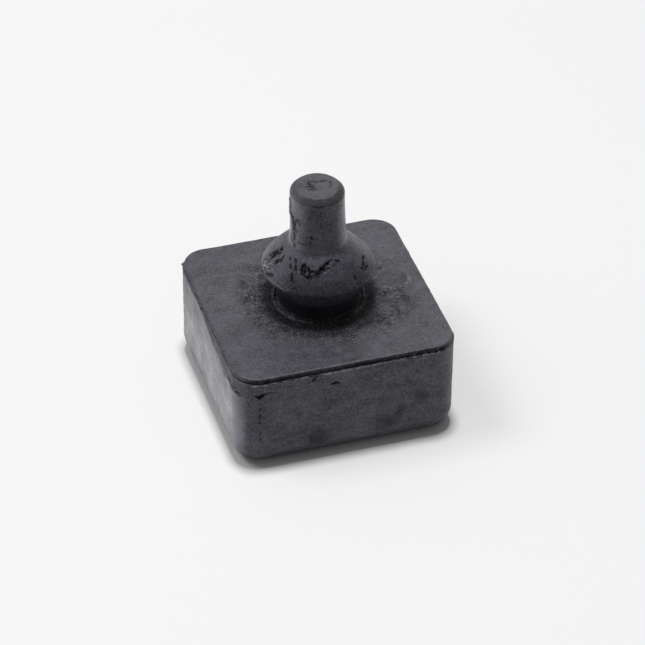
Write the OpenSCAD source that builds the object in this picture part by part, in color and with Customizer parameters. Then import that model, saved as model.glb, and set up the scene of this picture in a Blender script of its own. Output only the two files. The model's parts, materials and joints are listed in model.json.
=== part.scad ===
// Rubber buffer for a side stand: a square block with a snap-in stem, moulded in one piece.
// The block takes the knock. The stem is pulled by its tail through a hole in a bracket
// plate until the bulb has passed the hole, and the plate then sits in the groove at the
// neck, between the bulb and the block's seating face.
// Millimetres, +Z up the stem, origin at the middle of the block's underside.

/* [Block] */
// Width of the block along X
block_w = 25; // [20:0.1:60]
// Depth of the block along Y
block_d = 24.6; // [20:0.1:60]
// Height of the block, from its underside to the seating face
block_h = 12.3; // [8:0.1:40]
// Radius of the four upright corners
corner_r = 2.8; // [2.7:0.05:4]
// Radius round the edge of the underside
foot_r = 2.7; // [0.5:0.05:2.7]

/* [Top band] */
// Height of the band above the mould's parting line
band_h = 0.6; // [0.3:0.05:1.5]
// How far the band stands back from the block's sides
band_inset = 0.15; // [0.05:0.01:0.4]
// Radius round the edge of the seating face
band_r = 0.2; // [0.05:0.05:0.25]
// How far the flash stands out at the parting line
flash_out = 0.1; // [0.05:0.01:0.3]
// Thickness of the flash
flash_t = 0.12; // [0.05:0.01:0.25]

/* [Neck] */
// Diameter of the neck, which fills the plate's hole
neck_d = 9.6; // [7:0.1:11]
// Height of the groove, which takes the plate's thickness
neck_h = 2.3; // [1.5:0.1:4]
// How far the collar at the neck's root reaches out
collar_w = 0.3; // [0.1:0.05:1]
// Height of that collar
collar_h = 0.2; // [0.1:0.05:0.5]

/* [Bulb] */
// Largest diameter of the bulb
bulb_d = 12.4; // [11.6:0.1:16]
// Height of the slope under the bulb, from the neck to the rim's middle
undercut_h = 2.2; // [1.2:0.1:4]
// Radius of the bulb's rim
rim_r = 0.5; // [0.2:0.05:0.8]
// Height of the dome, from the rim's middle to the tail
dome_h = 3.45; // [2.8:0.05:6]
// Radius of the dome's curve, seen from the side
dome_r = 15; // [8:0.5:40]

/* [Tail] */
// Diameter where the tail meets the dome
tail_root_d = 6.1; // [5:0.1:8]
// Diameter at the tail's tip
tail_tip_d = 5.9; // [4:0.1:7]
// Length of the tail
tail_l = 6.95; // [3:0.05:30]
// Width and height of the bevel round the tip
tip_bevel = 0.55; // [0.2:0.05:1]

/* [Hidden] */
$fn = 96;

// Solids that join run into each other by this much.
bite = 0.5;

parting_z = block_h - band_h;
rim_z = neck_h + undercut_h;
dome_top_z = rim_z + dome_h;
tip_z = dome_top_z + tail_l;

rubber = [0.16, 0.16, 0.17];

// The point on the circle round c, of radius r, where the line from p touches it. The
// touching point is the one to the right of the way from p to c.
function tangent_point(p, c, r) =
    let (
        way = c - p,
        span = norm(way),
        heading = atan2(way.y, way.x),
        spread = acos(r / span)
    )
    c + r * [cos(heading + 180 + spread), sin(heading + 180 + spread)];

// The point at distance rp from p and rq from q, on the left of the way from p to q.
function meeting_point(p, rp, q, rq) =
    let (
        way = q - p,
        span = norm(way),
        along = (span * span + rp * rp - rq * rq) / (2 * span),
        aside = sqrt(rp * rp - along * along)
    )
    p + along * way / span + aside * [-way.y, way.x] / span;

// A quarter of a disc, between +X and +Y.
module quarter_disc(r) {
    intersection() {
        circle(r);
        square(r);
    }
}

// Half section of a slab's rim: a rectangle with its lower outer corner rounded off.
module rim_section(run, rise, edge_r) {
    square([run - edge_r, rise]);
    translate([0, edge_r])
        square([run, rise - edge_r]);
    translate([run - edge_r, edge_r])
        mirror([0, 1])
            quarter_disc(edge_r);
}

// A slab with round upright corners and a rounded lower edge. Each quarter post and each
// side wall between two posts has the same section, so they meet without a step.
module rounded_slab(w, d, h, upright_r, edge_r) {
    half_x = w / 2 - upright_r;
    half_y = d / 2 - upright_r;
    translate([-half_x, -half_y, 0])
        cube([2 * half_x, 2 * half_y, h]);
    for (turn = [0, 90, 180, 270]) {
        reach_x = turn % 180 == 0 ? half_x : half_y;
        reach_y = turn % 180 == 0 ? half_y : half_x;
        rotate([0, 0, turn])
            translate([reach_x, reach_y, 0])
                rotate_extrude(angle = 90)
                    rim_section(upright_r, h, edge_r);
        rotate([0, 0, turn])
            translate([reach_x, reach_y, 0])
                rotate([90, 0, 0])
                    linear_extrude(2 * reach_y)
                        rim_section(upright_r, h, edge_r);
    }
}

// The block below the parting line.
module block() {
    rounded_slab(block_w, block_d, parting_z, corner_r, foot_r);
}

// The band above the parting line, which the mould's other half leaves a little smaller.
module top_band() {
    w = block_w - 2 * band_inset;
    d = block_d - 2 * band_inset;
    translate([0, 0, block_h])
        mirror([0, 0, 1])
            rounded_slab(w, d, band_h, corner_r - band_inset, band_r);
}

// The thin skin that squeezed out between the mould's two halves.
module flash() {
    w = block_w + 2 * flash_out;
    d = block_d + 2 * flash_out;
    translate([0, 0, parting_z - flash_t / 2])
        rounded_slab(w, d, flash_t, corner_r + flash_out, flash_t / 4);
}

// Half section of the stem, with its axis on x = 0 and the seating face at y = 0.
module stem_section() {
    neck = [neck_d / 2, neck_h];
    rim = [bulb_d / 2 - rim_r, rim_z];
    root = [tail_root_d / 2, dome_top_z];
    under = tangent_point(neck, rim, rim_r);
    dome_mid = meeting_point(rim, dome_r - rim_r, root, dome_r);
    over = rim + rim_r * (rim - dome_mid) / norm(rim - dome_mid);
    collar_r = neck_d / 2 + collar_w;

    polygon([
        [0, -bite],
        [neck.x, -bite],
        neck,
        under,
        rim,
        over,
        [0, over.y]
    ]);
    translate(rim)
        circle(rim_r);
    intersection() {
        translate(dome_mid)
            circle(dome_r);
        translate([0, over.y])
            square([bulb_d, dome_top_z - over.y]);
    }
    polygon([
        [0, over.y],
        [tail_root_d / 2, dome_top_z],
        [tail_tip_d / 2, tip_z - tip_bevel],
        [tail_tip_d / 2 - tip_bevel, tip_z],
        [0, tip_z]
    ]);
    translate([0, -bite])
        square([collar_r - collar_h, bite + collar_h]);
    translate([0, -bite])
        square([collar_r, bite]);
    translate([collar_r - collar_h, 0])
        quarter_disc(collar_h);
}

module stem() {
    translate([0, 0, block_h])
        rotate_extrude()
            stem_section();
}

module rubber_buffer() {
    color(rubber)
        union() {
            block();
            flash();
            top_band();
            stem();
        }
}

rubber_buffer();
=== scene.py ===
"""A rubber buffer for a side stand: one black moulding, dressed for rendering and export.

The part is a square block with a snap-in stem. The block, the band above the mould's
parting line, the neck, the bulb and the pull tail are one piece of rubber, so they are
one skin here, swept as a column of rings from the tail's tip down to the underside. The
scars, the torn flash and the mould marks are pressed into that skin or raised on it, and
loose crumbs lie on the seating face round the stem.

Lengths inside the classes are millimetres, and meshes are written in metres.
"""

import json
import logging
import math
import random
from dataclasses import dataclass, fields
from enum import Enum

import bmesh
import bpy
import numpy as np
from mathutils import Matrix, Vector, noise


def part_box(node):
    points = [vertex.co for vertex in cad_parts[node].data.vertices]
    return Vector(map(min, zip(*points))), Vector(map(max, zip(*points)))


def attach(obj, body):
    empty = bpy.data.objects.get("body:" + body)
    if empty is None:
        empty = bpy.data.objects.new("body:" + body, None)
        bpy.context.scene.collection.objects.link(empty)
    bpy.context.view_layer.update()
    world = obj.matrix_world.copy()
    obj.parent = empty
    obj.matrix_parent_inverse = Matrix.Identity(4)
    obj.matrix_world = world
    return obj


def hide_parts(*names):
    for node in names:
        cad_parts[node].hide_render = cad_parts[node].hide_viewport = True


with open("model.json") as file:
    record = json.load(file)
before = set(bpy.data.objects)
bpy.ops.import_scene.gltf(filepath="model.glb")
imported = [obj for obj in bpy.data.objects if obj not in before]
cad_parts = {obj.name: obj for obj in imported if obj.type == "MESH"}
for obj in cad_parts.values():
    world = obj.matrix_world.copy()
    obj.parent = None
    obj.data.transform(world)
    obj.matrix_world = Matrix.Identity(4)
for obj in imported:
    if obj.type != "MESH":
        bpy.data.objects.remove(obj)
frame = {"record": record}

MM = 0.001
NODE = "rubber_buffer"
BODY = "root"

log = logging.getLogger("rubber_buffer")


# ---------------------------------------------------------------- small helpers


def smooth(low: float, high: float, value: np.ndarray) -> np.ndarray:
    """Ease from 0 at low to 1 at high.

    Args:
        low: value at which the result leaves 0.
        high: value at which the result reaches 1. It may be below low.
        value: numbers to ease.

    Returns:
        The eased numbers, each from 0 to 1.
    """
    t = np.clip((value - low) / (high - low), 0.0, 1.0)
    return t * t * (3.0 - 2.0 * t)


def wobble(points: np.ndarray, grain: float, shift: float = 0.0) -> np.ndarray:
    """Sample smooth noise at many places.

    Args:
        points: places, one row each, in millimetres.
        grain: size of one lump of the noise, in millimetres, or one size per axis.
        shift: offset that tells one use of the noise from another.

    Returns:
        One number for each place, from about -1 to 1.
    """
    scaled = points / np.asarray(grain) + shift
    return np.array([noise.noise(Vector(p)) for p in scaled])


def path_distance(points: np.ndarray, path: np.ndarray) -> np.ndarray:
    """Measure how far each point lies from a chain of straight stretches.

    Args:
        points: places, one row each.
        path: corners of the chain, one row each. A single row is a spot.

    Returns:
        The distance of each point from the nearest part of the chain.
    """
    best = np.linalg.norm(points - path[0], axis=1)
    for start, end in zip(path[:-1], path[1:]):
        run = end - start
        along = np.clip((points - start) @ run / max(run @ run, 1e-12), 0.0, 1.0)
        gap = np.linalg.norm(points - start - along[:, None] * run, axis=1)
        best = np.minimum(best, gap)
    return best


# ---------------------------------------------------------------- the outline


@dataclass(frozen=True)
class Outline:
    """The block's outline seen from above: a square with round corners.

    Attributes:
        width: size along X, in millimetres.
        depth: size along Y.
        corner_r: radius of the corners.
        count: number of points round it.
        far_share: how thinly the back and right sides are sampled, as a share.
    """

    width: float
    depth: float
    corner_r: float
    count: int = 372
    far_share: float = 0.5

    def trace(self) -> tuple[np.ndarray, np.ndarray]:
        """Sample the outline anticlockwise.

        Returns:
            The points and their outward normals, one row each.
        """
        half_x = self.width / 2 - self.corner_r
        half_y = self.depth / 2 - self.corner_r
        centres = [(half_x, half_y), (-half_x, half_y), (-half_x, -half_y), (half_x, -half_y)]
        fine_xy, fine_normal = [], []
        steps = 240
        for quarter, centre in enumerate(centres):
            turn = np.radians(90 * quarter + np.linspace(0, 90, steps, endpoint=False))
            ray = np.c_[np.cos(turn), np.sin(turn)]
            fine_xy.append(np.array(centre) + self.corner_r * ray)
            fine_normal.append(ray)
            end = math.radians(90 * quarter + 90)
            last = np.array([math.cos(end), math.sin(end)])
            begin = np.array(centre) + self.corner_r * last
            finish = np.array(centres[(quarter + 1) % 4]) + self.corner_r * last
            share = np.linspace(0, 1, steps, endpoint=False)[:, None]
            fine_xy.append(begin + share * (finish - begin))
            fine_normal.append(np.repeat(last[None], steps, axis=0))
        xy = np.vstack(fine_xy)
        normal = np.vstack(fine_normal)
        length = np.linalg.norm(np.roll(xy, -1, axis=0) - xy, axis=1)
        near = smooth(0.35, -0.35, (normal @ np.array([0.7, 0.7])))
        weight = length * (self.far_share + (1 - self.far_share) * near)
        total = np.concatenate([[0.0], np.cumsum(weight)])
        wanted = np.linspace(0, total[-1], self.count, endpoint=False)
        closed_xy = np.vstack([xy, xy[:1]])
        closed_normal = np.vstack([normal, normal[:1]])
        points = np.c_[[np.interp(wanted, total, closed_xy[:, k]) for k in (0, 1)]].T
        normals = np.c_[[np.interp(wanted, total, closed_normal[:, k]) for k in (0, 1)]].T
        normals /= np.linalg.norm(normals, axis=1)[:, None]
        return points, normals


# ---------------------------------------------------------------- block and stem


@dataclass(frozen=True)
class BlockForm:
    """Sizes of the block and of the seam round its top.

    Attributes:
        width: size along X without the flash.
        depth: size along Y without the flash.
        height: underside to seating face.
        corner_r: radius of the upright corners.
        foot_r: radius round the underside.
        band_h: height of the band above the parting line.
        band_inset: how far the band stands back.
        band_r: radius round the seating face.
        seam_depth: depth of the crease under the band.
        flash: usual reach of the flash.
        fine_z: height down to which the rings lie close, for the torn skin under the seam.
    """

    width: float
    depth: float
    height: float
    corner_r: float = 2.8
    foot_r: float = 2.7
    band_h: float = 0.62
    band_inset: float = 0.15
    band_r: float = 0.2
    seam_depth: float = 0.18
    flash: float = 0.07
    fine_z: float = 9.7

    @property
    def parting_z(self) -> float:
        """Height of the mould's parting line."""
        return self.height - self.band_h

    def on_top(self, x: float, y: float) -> tuple[float, float, float]:
        """Place on the seating face."""
        return (x, y, self.height)

    def on_front(self, x: float, z: float) -> tuple[float, float, float]:
        """Place on the front face."""
        return (x, -self.depth / 2, z)


@dataclass(frozen=True)
class StemForm:
    """Sizes of the stem, measured up from the seating face.

    Attributes:
        neck_r: radius of the neck.
        neck_h: height of the groove.
        base_z: height of the seating face.
        bulb_r: largest radius of the bulb.
        rim_z: height of the bulb's rim.
        rim_r: radius of the rim's edge.
        dome_z: height at which the dome ends in the tail.
        dome_curve: radius of the dome's curve, seen from the side.
        blend: how far the dome and the tail melt into each other.
        root_r: radius of the tail where it leaves the dome.
        tip_r: radius of the tail at its tip.
        tip_z: height of the tip.
        bevel: width of the bevel round the tip.
        collar_r: outer radius of the thin ring round the neck's root.
        collar_w: half the width of that ring.
        collar_h: height of that ring.
        waist: how much thinner the neck is at its root.
        shift: how far the mould set the stem off the block's middle, along X and Y.
        lean: how far it leans along X for each millimetre up.
    """

    neck_r: float
    neck_h: float
    base_z: float
    bulb_r: float = 6.2
    rim_z: float = 4.5
    rim_r: float = 0.5
    dome_z: float = 7.95
    dome_curve: float = 15.0
    blend: float = 0.32
    root_r: float = 3.05
    tip_r: float = 2.95
    tip_z: float = 14.9
    bevel: float = 0.55
    collar_r: float = 5.06
    collar_w: float = 0.11
    collar_h: float = 0.17
    waist: float = 0.38
    shift: tuple[float, float] = (0.28, 0.16)
    lean: float = -0.02

    def axis(self, z: float) -> np.ndarray:
        """Middle of the stem at a height above the seating face."""
        return np.array([self.shift[0] + self.lean * z, self.shift[1]])

    def dome_centre(self) -> tuple[float, float]:
        """Find the centre of the dome's curve, which touches the rim's edge.

        Returns:
            The centre's distance from the axis and its height.
        """
        rim = np.array([self.bulb_r - self.rim_r, self.rim_z])
        root = np.array([self.root_r, self.dome_z])
        way = root - rim
        span = float(np.linalg.norm(way))
        near, far = self.dome_curve - self.rim_r, self.dome_curve
        along = (span * span + near * near - far * far) / (2 * span)
        aside = math.sqrt(near * near - along * along)
        centre = rim + along * way / span + aside * np.array([-way[1], way[0]]) / span
        return float(centre[0]), float(centre[1])

    def dome_radius(self, z: float) -> float:
        """Radius of the dome at a height above the seating face."""
        centre_r, centre_z = self.dome_centre()
        return centre_r + math.sqrt(self.dome_curve**2 - (z - centre_z) ** 2)

    def melted(self, first: float, second: float) -> float:
        """Larger of two radii, eased where they are alike."""
        return 0.5 * (first + second + math.hypot(first - second, self.blend))

    def radius(self, z: float) -> float:
        """Radius of the stem's surface at a height above the seating face.

        Args:
            z: height above the seating face.

        Returns:
            The radius at that height.
        """
        share = (z - self.dome_z) / (self.tip_z - self.bevel - self.dome_z)
        tail = self.root_r + (self.tip_r - self.root_r) * min(share, 1.0)
        if z >= self.dome_z + 2.5:
            return tail
        if z >= self.rim_z + 0.4 * self.rim_r:
            return self.melted(self.dome_radius(z), tail)
        if z >= self.neck_h:
            share = (z - self.neck_h) / (self.rim_z - self.neck_h)
            return self.neck_r + (self.bulb_r - self.neck_r) * share
        return self.neck_r

    def at(self, bearing: float, z: float) -> tuple[float, float, float]:
        """Place on the stem's side.

        Args:
            bearing: angle round the stem, in degrees from +X.
            z: height above the seating face.

        Returns:
            The place, in millimetres.
        """
        turn = math.radians(bearing)
        middle = self.axis(z)
        r = self.radius(z)
        return (middle[0] + r * math.cos(turn), middle[1] + r * math.sin(turn), self.base_z + z)

    def on_tip(self, x: float, y: float) -> tuple[float, float, float]:
        """Place on the flat end of the tail, measured from its middle."""
        middle = self.axis(self.tip_z)
        return (middle[0] + x, middle[1] + y, self.base_z + self.tip_z)

    def lower_profile(self) -> list[tuple[float, float]]:
        """List the radius and height of each ring from the tail's root down to the collar.

        Returns:
            Pairs of radius and height above the seating face.
        """
        pairs = []
        centre_r, centre_z = self.dome_centre()
        rim = (self.bulb_r - self.rim_r, self.rim_z)
        start = math.atan2(self.dome_z - centre_z, self.root_r - centre_r)
        stop = math.atan2(rim[1] - centre_z, rim[0] - centre_r)
        for turn in np.linspace(start, stop, 50):
            z = centre_z + self.dome_curve * math.sin(turn)
            tail = self.root_r + (self.tip_r - self.root_r) * (z - self.dome_z) / (self.tip_z - self.dome_z)
            pairs.append((self.melted(centre_r + self.dome_curve * math.cos(turn), tail), z))
        slope = math.atan2(self.neck_h - rim[1], self.neck_r - rim[0]) + math.pi / 2
        for turn in np.linspace(stop, slope, 8)[1:]:
            pairs.append((rim[0] + self.rim_r * math.cos(turn), rim[1] + self.rim_r * math.sin(turn)))
        last = pairs[-1]
        for share in np.linspace(0, 1, 17)[1:]:
            pairs.append(
                (last[0] + share * (self.neck_r - last[0]), last[1] + share * (self.neck_h - last[1]))
            )
        for z in np.linspace(self.neck_h, 0.05, 8)[1:]:
            waist = self.waist * (1.0 - min(max((z - 1.0) / (self.neck_h - 1.0), 0.0), 1.0))
            pairs.append((self.neck_r - waist, z))
        middle = self.collar_r - self.collar_w
        pairs.append((middle - self.collar_w, 0.0))
        for turn in np.linspace(150, 0, 6):
            ray = math.radians(turn)
            pairs.append((middle + self.collar_w * math.cos(ray), self.collar_h * math.sin(ray) ** 0.7))
        return pairs

    def tail_profile(self) -> list[tuple[float, float]]:
        """List the radius and height of each ring from the tip's middle down the tail.

        Returns:
            Pairs of radius and height above the seating face.
        """
        flat_r = self.tip_r - self.bevel
        soft = 0.12
        pairs = [(flat_r * share, self.tip_z) for share in np.linspace(0.08, 0.95, 20)]
        corners = [
            (flat_r - soft * 0.3, self.tip_z - 0.01),
            (flat_r + soft * 0.6, self.tip_z - soft * 0.8),
            (flat_r + 0.5 * self.bevel, self.tip_z - 0.5 * self.bevel),
            (self.tip_r - soft * 0.5, self.tip_z - self.bevel + soft * 0.3),
            (self.tip_r, self.tip_z - self.bevel - soft),
        ]
        pairs += corners
        begin = corners[-1]
        for share in np.linspace(0, 1, 62)[1:-1]:
            z = begin[1] + share * (self.dome_z - begin[1])
            pairs.append((self.radius(z), z))
        return pairs


# ---------------------------------------------------------------- marks


class Place(Enum):
    """Surface that a mark lies on, which says how its path is measured."""

    STEM = "bearing in degrees and height above the seating face"
    TIP = "x and y from the middle of the tail's end"
    TOP = "x and y on the seating face"
    FRONT = "x and z on the front face"
    SIDE = "place round the block from its front left corner, and height"


@dataclass(frozen=True)
class Scar:
    """A cut, pit, crease or ridge that follows a path on the rubber.

    Attributes:
        place: surface that it lies on.
        path: corners of its path, measured as the place says.
        reach: half its width, in millimetres.
        depth: how deep it is. A negative depth is a ridge.
        lip: height of the rubber pushed up beside it.
        ragged: how much its edge wanders, as a share of its reach.
        soot_and_shade: how dark it is inside, from 0 to 1: dark torn rubber, with painted shade in its
            hollow.
    """

    place: Place
    path: tuple[tuple[float, float], ...]
    reach: float
    depth: float
    lip: float = 0.0
    ragged: float = 0.35
    soot_and_shade: float = 1.0


TAIL_TEARS = (
    Scar(Place.STEM, ((176, 13.7), (178, 12.9), (178, 11.9)), 0.3, -0.13, soot_and_shade=0.0),
    Scar(Place.STEM, ((-178, 13.2), (-177, 12.5)), 0.09, 0.08, soot_and_shade=0.75),
    Scar(Place.STEM, ((-180, 12.2), (-176, 11.7)), 0.12, 0.12, soot_and_shade=0.95),
    Scar(Place.STEM, ((-171, 11.8), (-168, 11.4), (-165, 10.9), (-163, 10.4)), 0.26, 0.3, lip=0.04),
    Scar(Place.STEM, ((-163, 10.5), (-159, 10.1), (-157, 10.2)), 0.15, 0.16),
    Scar(Place.STEM, ((-166, 10.6), (-165, 9.8), (-163, 9.0)), 0.16, 0.2),
    Scar(Place.STEM, ((-163, 11.5), (-158, 11.4), (-154, 11.8), (-149, 11.7), (-146, 11.3)), 0.08, 0.1),
    Scar(Place.STEM, ((-159, 11.3), (-160, 11.0)), 0.08, 0.1, soot_and_shade=0.9),
    Scar(Place.STEM, ((-165, 8.4), (-161, 8.1), (-160, 8.3)), 0.13, 0.16),
    Scar(Place.STEM, ((-150, 8.9),), 0.11, 0.1, soot_and_shade=0.9),
    Scar(Place.STEM, ((-143, 8.95),), 0.1, 0.08, soot_and_shade=0.85),
    Scar(Place.STEM, ((-137, 8.9),), 0.12, 0.1, soot_and_shade=0.95),
    Scar(Place.STEM, ((-130, 9.15),), 0.1, 0.08, soot_and_shade=0.85),
    Scar(Place.STEM, ((-122, 9.4),), 0.1, 0.08, soot_and_shade=0.85),
    Scar(Place.STEM, ((-119.5, 10.1),), 0.14, 0.12, soot_and_shade=0.95),
)

DOME_PITS = (
    Scar(Place.STEM, ((-127, 6.3), (-121, 6.18), (-115, 6.27)), 0.19, 0.2),
    Scar(Place.STEM, ((-129.5, 6.4), (-129.5, 6.95), (-127, 7.1)), 0.18, 0.2),
    Scar(Place.STEM, ((-125.5, 6.4), (-125, 6.9)), 0.12, 0.16, soot_and_shade=0.9),
    Scar(Place.STEM, ((-121, 6.9), (-118.5, 6.5)), 0.15, 0.18),
    Scar(Place.STEM, ((-115, 6.7), (-110, 6.62)), 0.18, 0.15, soot_and_shade=0.9),
    Scar(Place.STEM, ((-108.5, 6.45), (-105, 6.6), (-102, 6.85)), 0.29, 0.28),
    Scar(Place.STEM, ((-102, 6.85), (-96, 7.15), (-91, 7.3)), 0.18, 0.2),
    Scar(Place.STEM, ((-91, 7.3), (-83, 7.45)), 0.12, 0.12, soot_and_shade=0.9),
    Scar(Place.STEM, ((-98, 6.75), (-91, 6.9)), 0.13, 0.1, soot_and_shade=0.8),
    Scar(Place.STEM, ((-76.7, 7.36), (-72.6, 7.22)), 0.13, 0.09, soot_and_shade=0.9),
    Scar(Place.STEM, ((-128, 6.65), (-122, 6.62), (-116, 6.5)), 0.32, 0.12, ragged=0.7, soot_and_shade=0.66),
    Scar(Place.STEM, ((-33, 5.95), (-38, 5.75), (-41.5, 5.6)), 0.3, 0.3, soot_and_shade=0.95),
    Scar(Place.STEM, ((-29, 6.15), (-36, 5.95), (-42, 5.72)), 0.19, 0.34),
    Scar(Place.STEM, ((-44, 5.75), (-41, 5.5), (-37, 5.35)), 0.22, 0.34),
    Scar(Place.STEM, ((-35, 5.9), (-39, 5.55)), 0.2, 0.3),
    Scar(Place.STEM, ((-62, 5.4), (-62, 5.62)), 0.13, 0.1),
    Scar(Place.STEM, ((-155, 7.2), (-155, 7.0)), 0.1, 0.08),
    Scar(Place.STEM, ((-145, 7.25), (-143, 7.05)), 0.12, 0.08),
    Scar(Place.STEM, ((-148.6, 6.7), (-147, 6.5)), 0.12, 0.09),
    Scar(Place.STEM, ((-140.7, 6.85), (-138.4, 6.5)), 0.1, 0.08),
    Scar(Place.STEM, ((-141, 6.1), (-139, 5.6)), 0.13, 0.18),
)

DOME_CREASES = (
    Scar(Place.STEM, ((-106, 8.0), (-96, 8.02)), 0.07, 0.04, soot_and_shade=0.42),
    Scar(Place.STEM, ((-88, 8.1), (-72, 8.25)), 0.08, 0.05, soot_and_shade=0.5),
    Scar(
        Place.STEM,
        ((-153, 4.8), (-147, 4.74), (-140, 4.66), (-133, 4.6), (-126, 4.5), (-116, 4.48)),
        0.09,
        0.1,
        lip=0.05,
        soot_and_shade=0.7,
    ),
    Scar(Place.STEM, ((-134.6, 5.0), (-132, 5.1), (-129.5, 4.95)), 0.09, 0.1),
    Scar(Place.STEM, ((-153, 4.96),), 0.1, 0.1),
    Scar(Place.STEM, ((-116, 4.48), (-104, 4.42), (-90, 4.5), (-76, 4.44)), 0.08, 0.06, lip=0.03, soot_and_shade=0.6),
    Scar(Place.STEM, ((-127, 4.62),), 0.11, -0.08, soot_and_shade=0.0),
)

DOME_TORN_SIDE = (
    Scar(Place.STEM, ((170.5, 5.85), (174, 6.25)), 0.3, 0.3, ragged=0.6),
    Scar(Place.STEM, ((173, 6.3), (177, 6.75), (178, 7.05)), 0.38, 0.3, ragged=0.6),
    Scar(Place.STEM, ((-172, 6.1), (-169, 6.5)), 0.26, 0.26, ragged=0.6),
    Scar(Place.STEM, ((-169, 6.5), (-167, 6.95)), 0.16, 0.2, ragged=0.5),
    Scar(Place.STEM, ((-165.5, 5.1), (-168.5, 5.0), (-172, 4.8)), 0.19, 0.24),
    Scar(Place.STEM, ((-175, 4.95), (-172, 4.6)), 0.15, 0.24),
    Scar(Place.STEM, ((168, 5.2), (174, 4.7), (180, 4.5)), 0.2, 0.3),
)

TIP_PIP = (
    Scar(Place.TIP, ((-1.25, 0.2), (-0.85, 0.1), (-0.5, 0.18)), 0.15, 0.1, lip=0.03, soot_and_shade=0.74),
    Scar(Place.TIP, ((-0.93, -0.36), (-0.6, -0.45), (-0.35, -0.33), (-0.6, -0.05)), 0.19, 0.12, soot_and_shade=0.78),
    Scar(Place.TIP, ((-0.75, 0.5), (-0.6, 0.85), (-0.3, 0.92), (0.1, 0.8)), 0.17, 0.08, soot_and_shade=0.72),
    Scar(Place.TIP, ((0.1, 0.8), (0.8, 0.62), (1.1, 0.72)), 0.15, 0.08, soot_and_shade=0.74),
    Scar(
        Place.TIP,
        ((1.1, 0.72), (1.45, 0.6), (1.57, 0.15), (1.5, -0.2), (1.3, -0.45)),
        0.14,
        0.06,
        soot_and_shade=0.66,
    ),
    Scar(Place.TIP, ((-0.55, 0.3), (-0.7, 0.7)), 0.2, 0.08, soot_and_shade=0.62),
    Scar(Place.STEM, ((-106, 14.1),), 0.1, -0.06, soot_and_shade=0.0),
)

FACE_MARKS = (
    Scar(Place.FRONT, ((-10.5, 10.25), (-10.15, 10.0)), 0.18, 0.42, ragged=0.2),
    Scar(Place.FRONT, ((-10.15, 10.0), (-9.8, 10.36)), 0.17, 0.4, ragged=0.2),
    Scar(Place.FRONT, ((-9.8, 10.38), (-9.2, 10.52), (-8.8, 10.52)), 0.07, 0.16, soot_and_shade=0.9),
    Scar(Place.FRONT, ((-2.0, 10.06), (-1.6, 10.14), (-1.3, 10.06)), 0.1, 0.26, ragged=0.2),
    Scar(Place.FRONT, ((-3.7, 11.75), (-3.9, 11.4), (-4.15, 11.1)), 0.15, 0.18, lip=0.03, soot_and_shade=0.95),
    Scar(Place.FRONT, ((-4.15, 11.1), (-4.6, 10.8)), 0.1, 0.1, soot_and_shade=0.75),
    Scar(Place.FRONT, ((-10.14, 9.7), (-10.12, 2.2)), 0.08, -0.02, soot_and_shade=0.35),
    Scar(Place.FRONT, ((-10.14, 9.15), (-10.14, 8.95)), 0.09, 0.08, soot_and_shade=0.9),
    Scar(Place.FRONT, ((-10.14, 8.5), (-10.13, 8.35)), 0.12, 0.12),
    Scar(Place.FRONT, ((-10.12, 7.65), (-10.12, 7.05)), 0.11, 0.1),
    Scar(Place.FRONT, ((-10.13, 6.6), (-10.14, 6.5)), 0.12, 0.08),
    Scar(Place.FRONT, ((-10.12, 5.05), (-10.12, 4.95)), 0.12, 0.07),
    Scar(Place.FRONT, ((-10.12, 4.35), (-10.05, 4.25)), 0.12, 0.08),
    Scar(Place.FRONT, ((-9.9, 3.75),), 0.1, 0.06),
    Scar(Place.SIDE, ((-2.6, 10.4), (-2.2, 10.2), (-1.7, 10.14)), 0.27, 0.45, lip=0.06, ragged=0.2),
    Scar(Place.SIDE, ((-1.45, 10.2), (-1.1, 10.1), (-0.65, 9.97)), 0.22, 0.45, lip=0.06, ragged=0.2),
    Scar(Place.SIDE, ((-3.0, 10.8), (-2.6, 10.4)), 0.13, 0.2, soot_and_shade=0.9),
    Scar(Place.SIDE, ((-5.2, 9.8), (-4.8, 9.5)), 0.12, 0.1, soot_and_shade=0.8),
    Scar(Place.TOP, ((-12.0, 1.2), (-10.8, 0.9), (-9.6, 0.5)), 0.12, 0.035, soot_and_shade=0.35),
    Scar(Place.TOP, ((-11.2, 3.6), (-10.2, 3.9), (-9.4, 3.9)), 0.12, 0.025, soot_and_shade=0.2),
)


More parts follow.
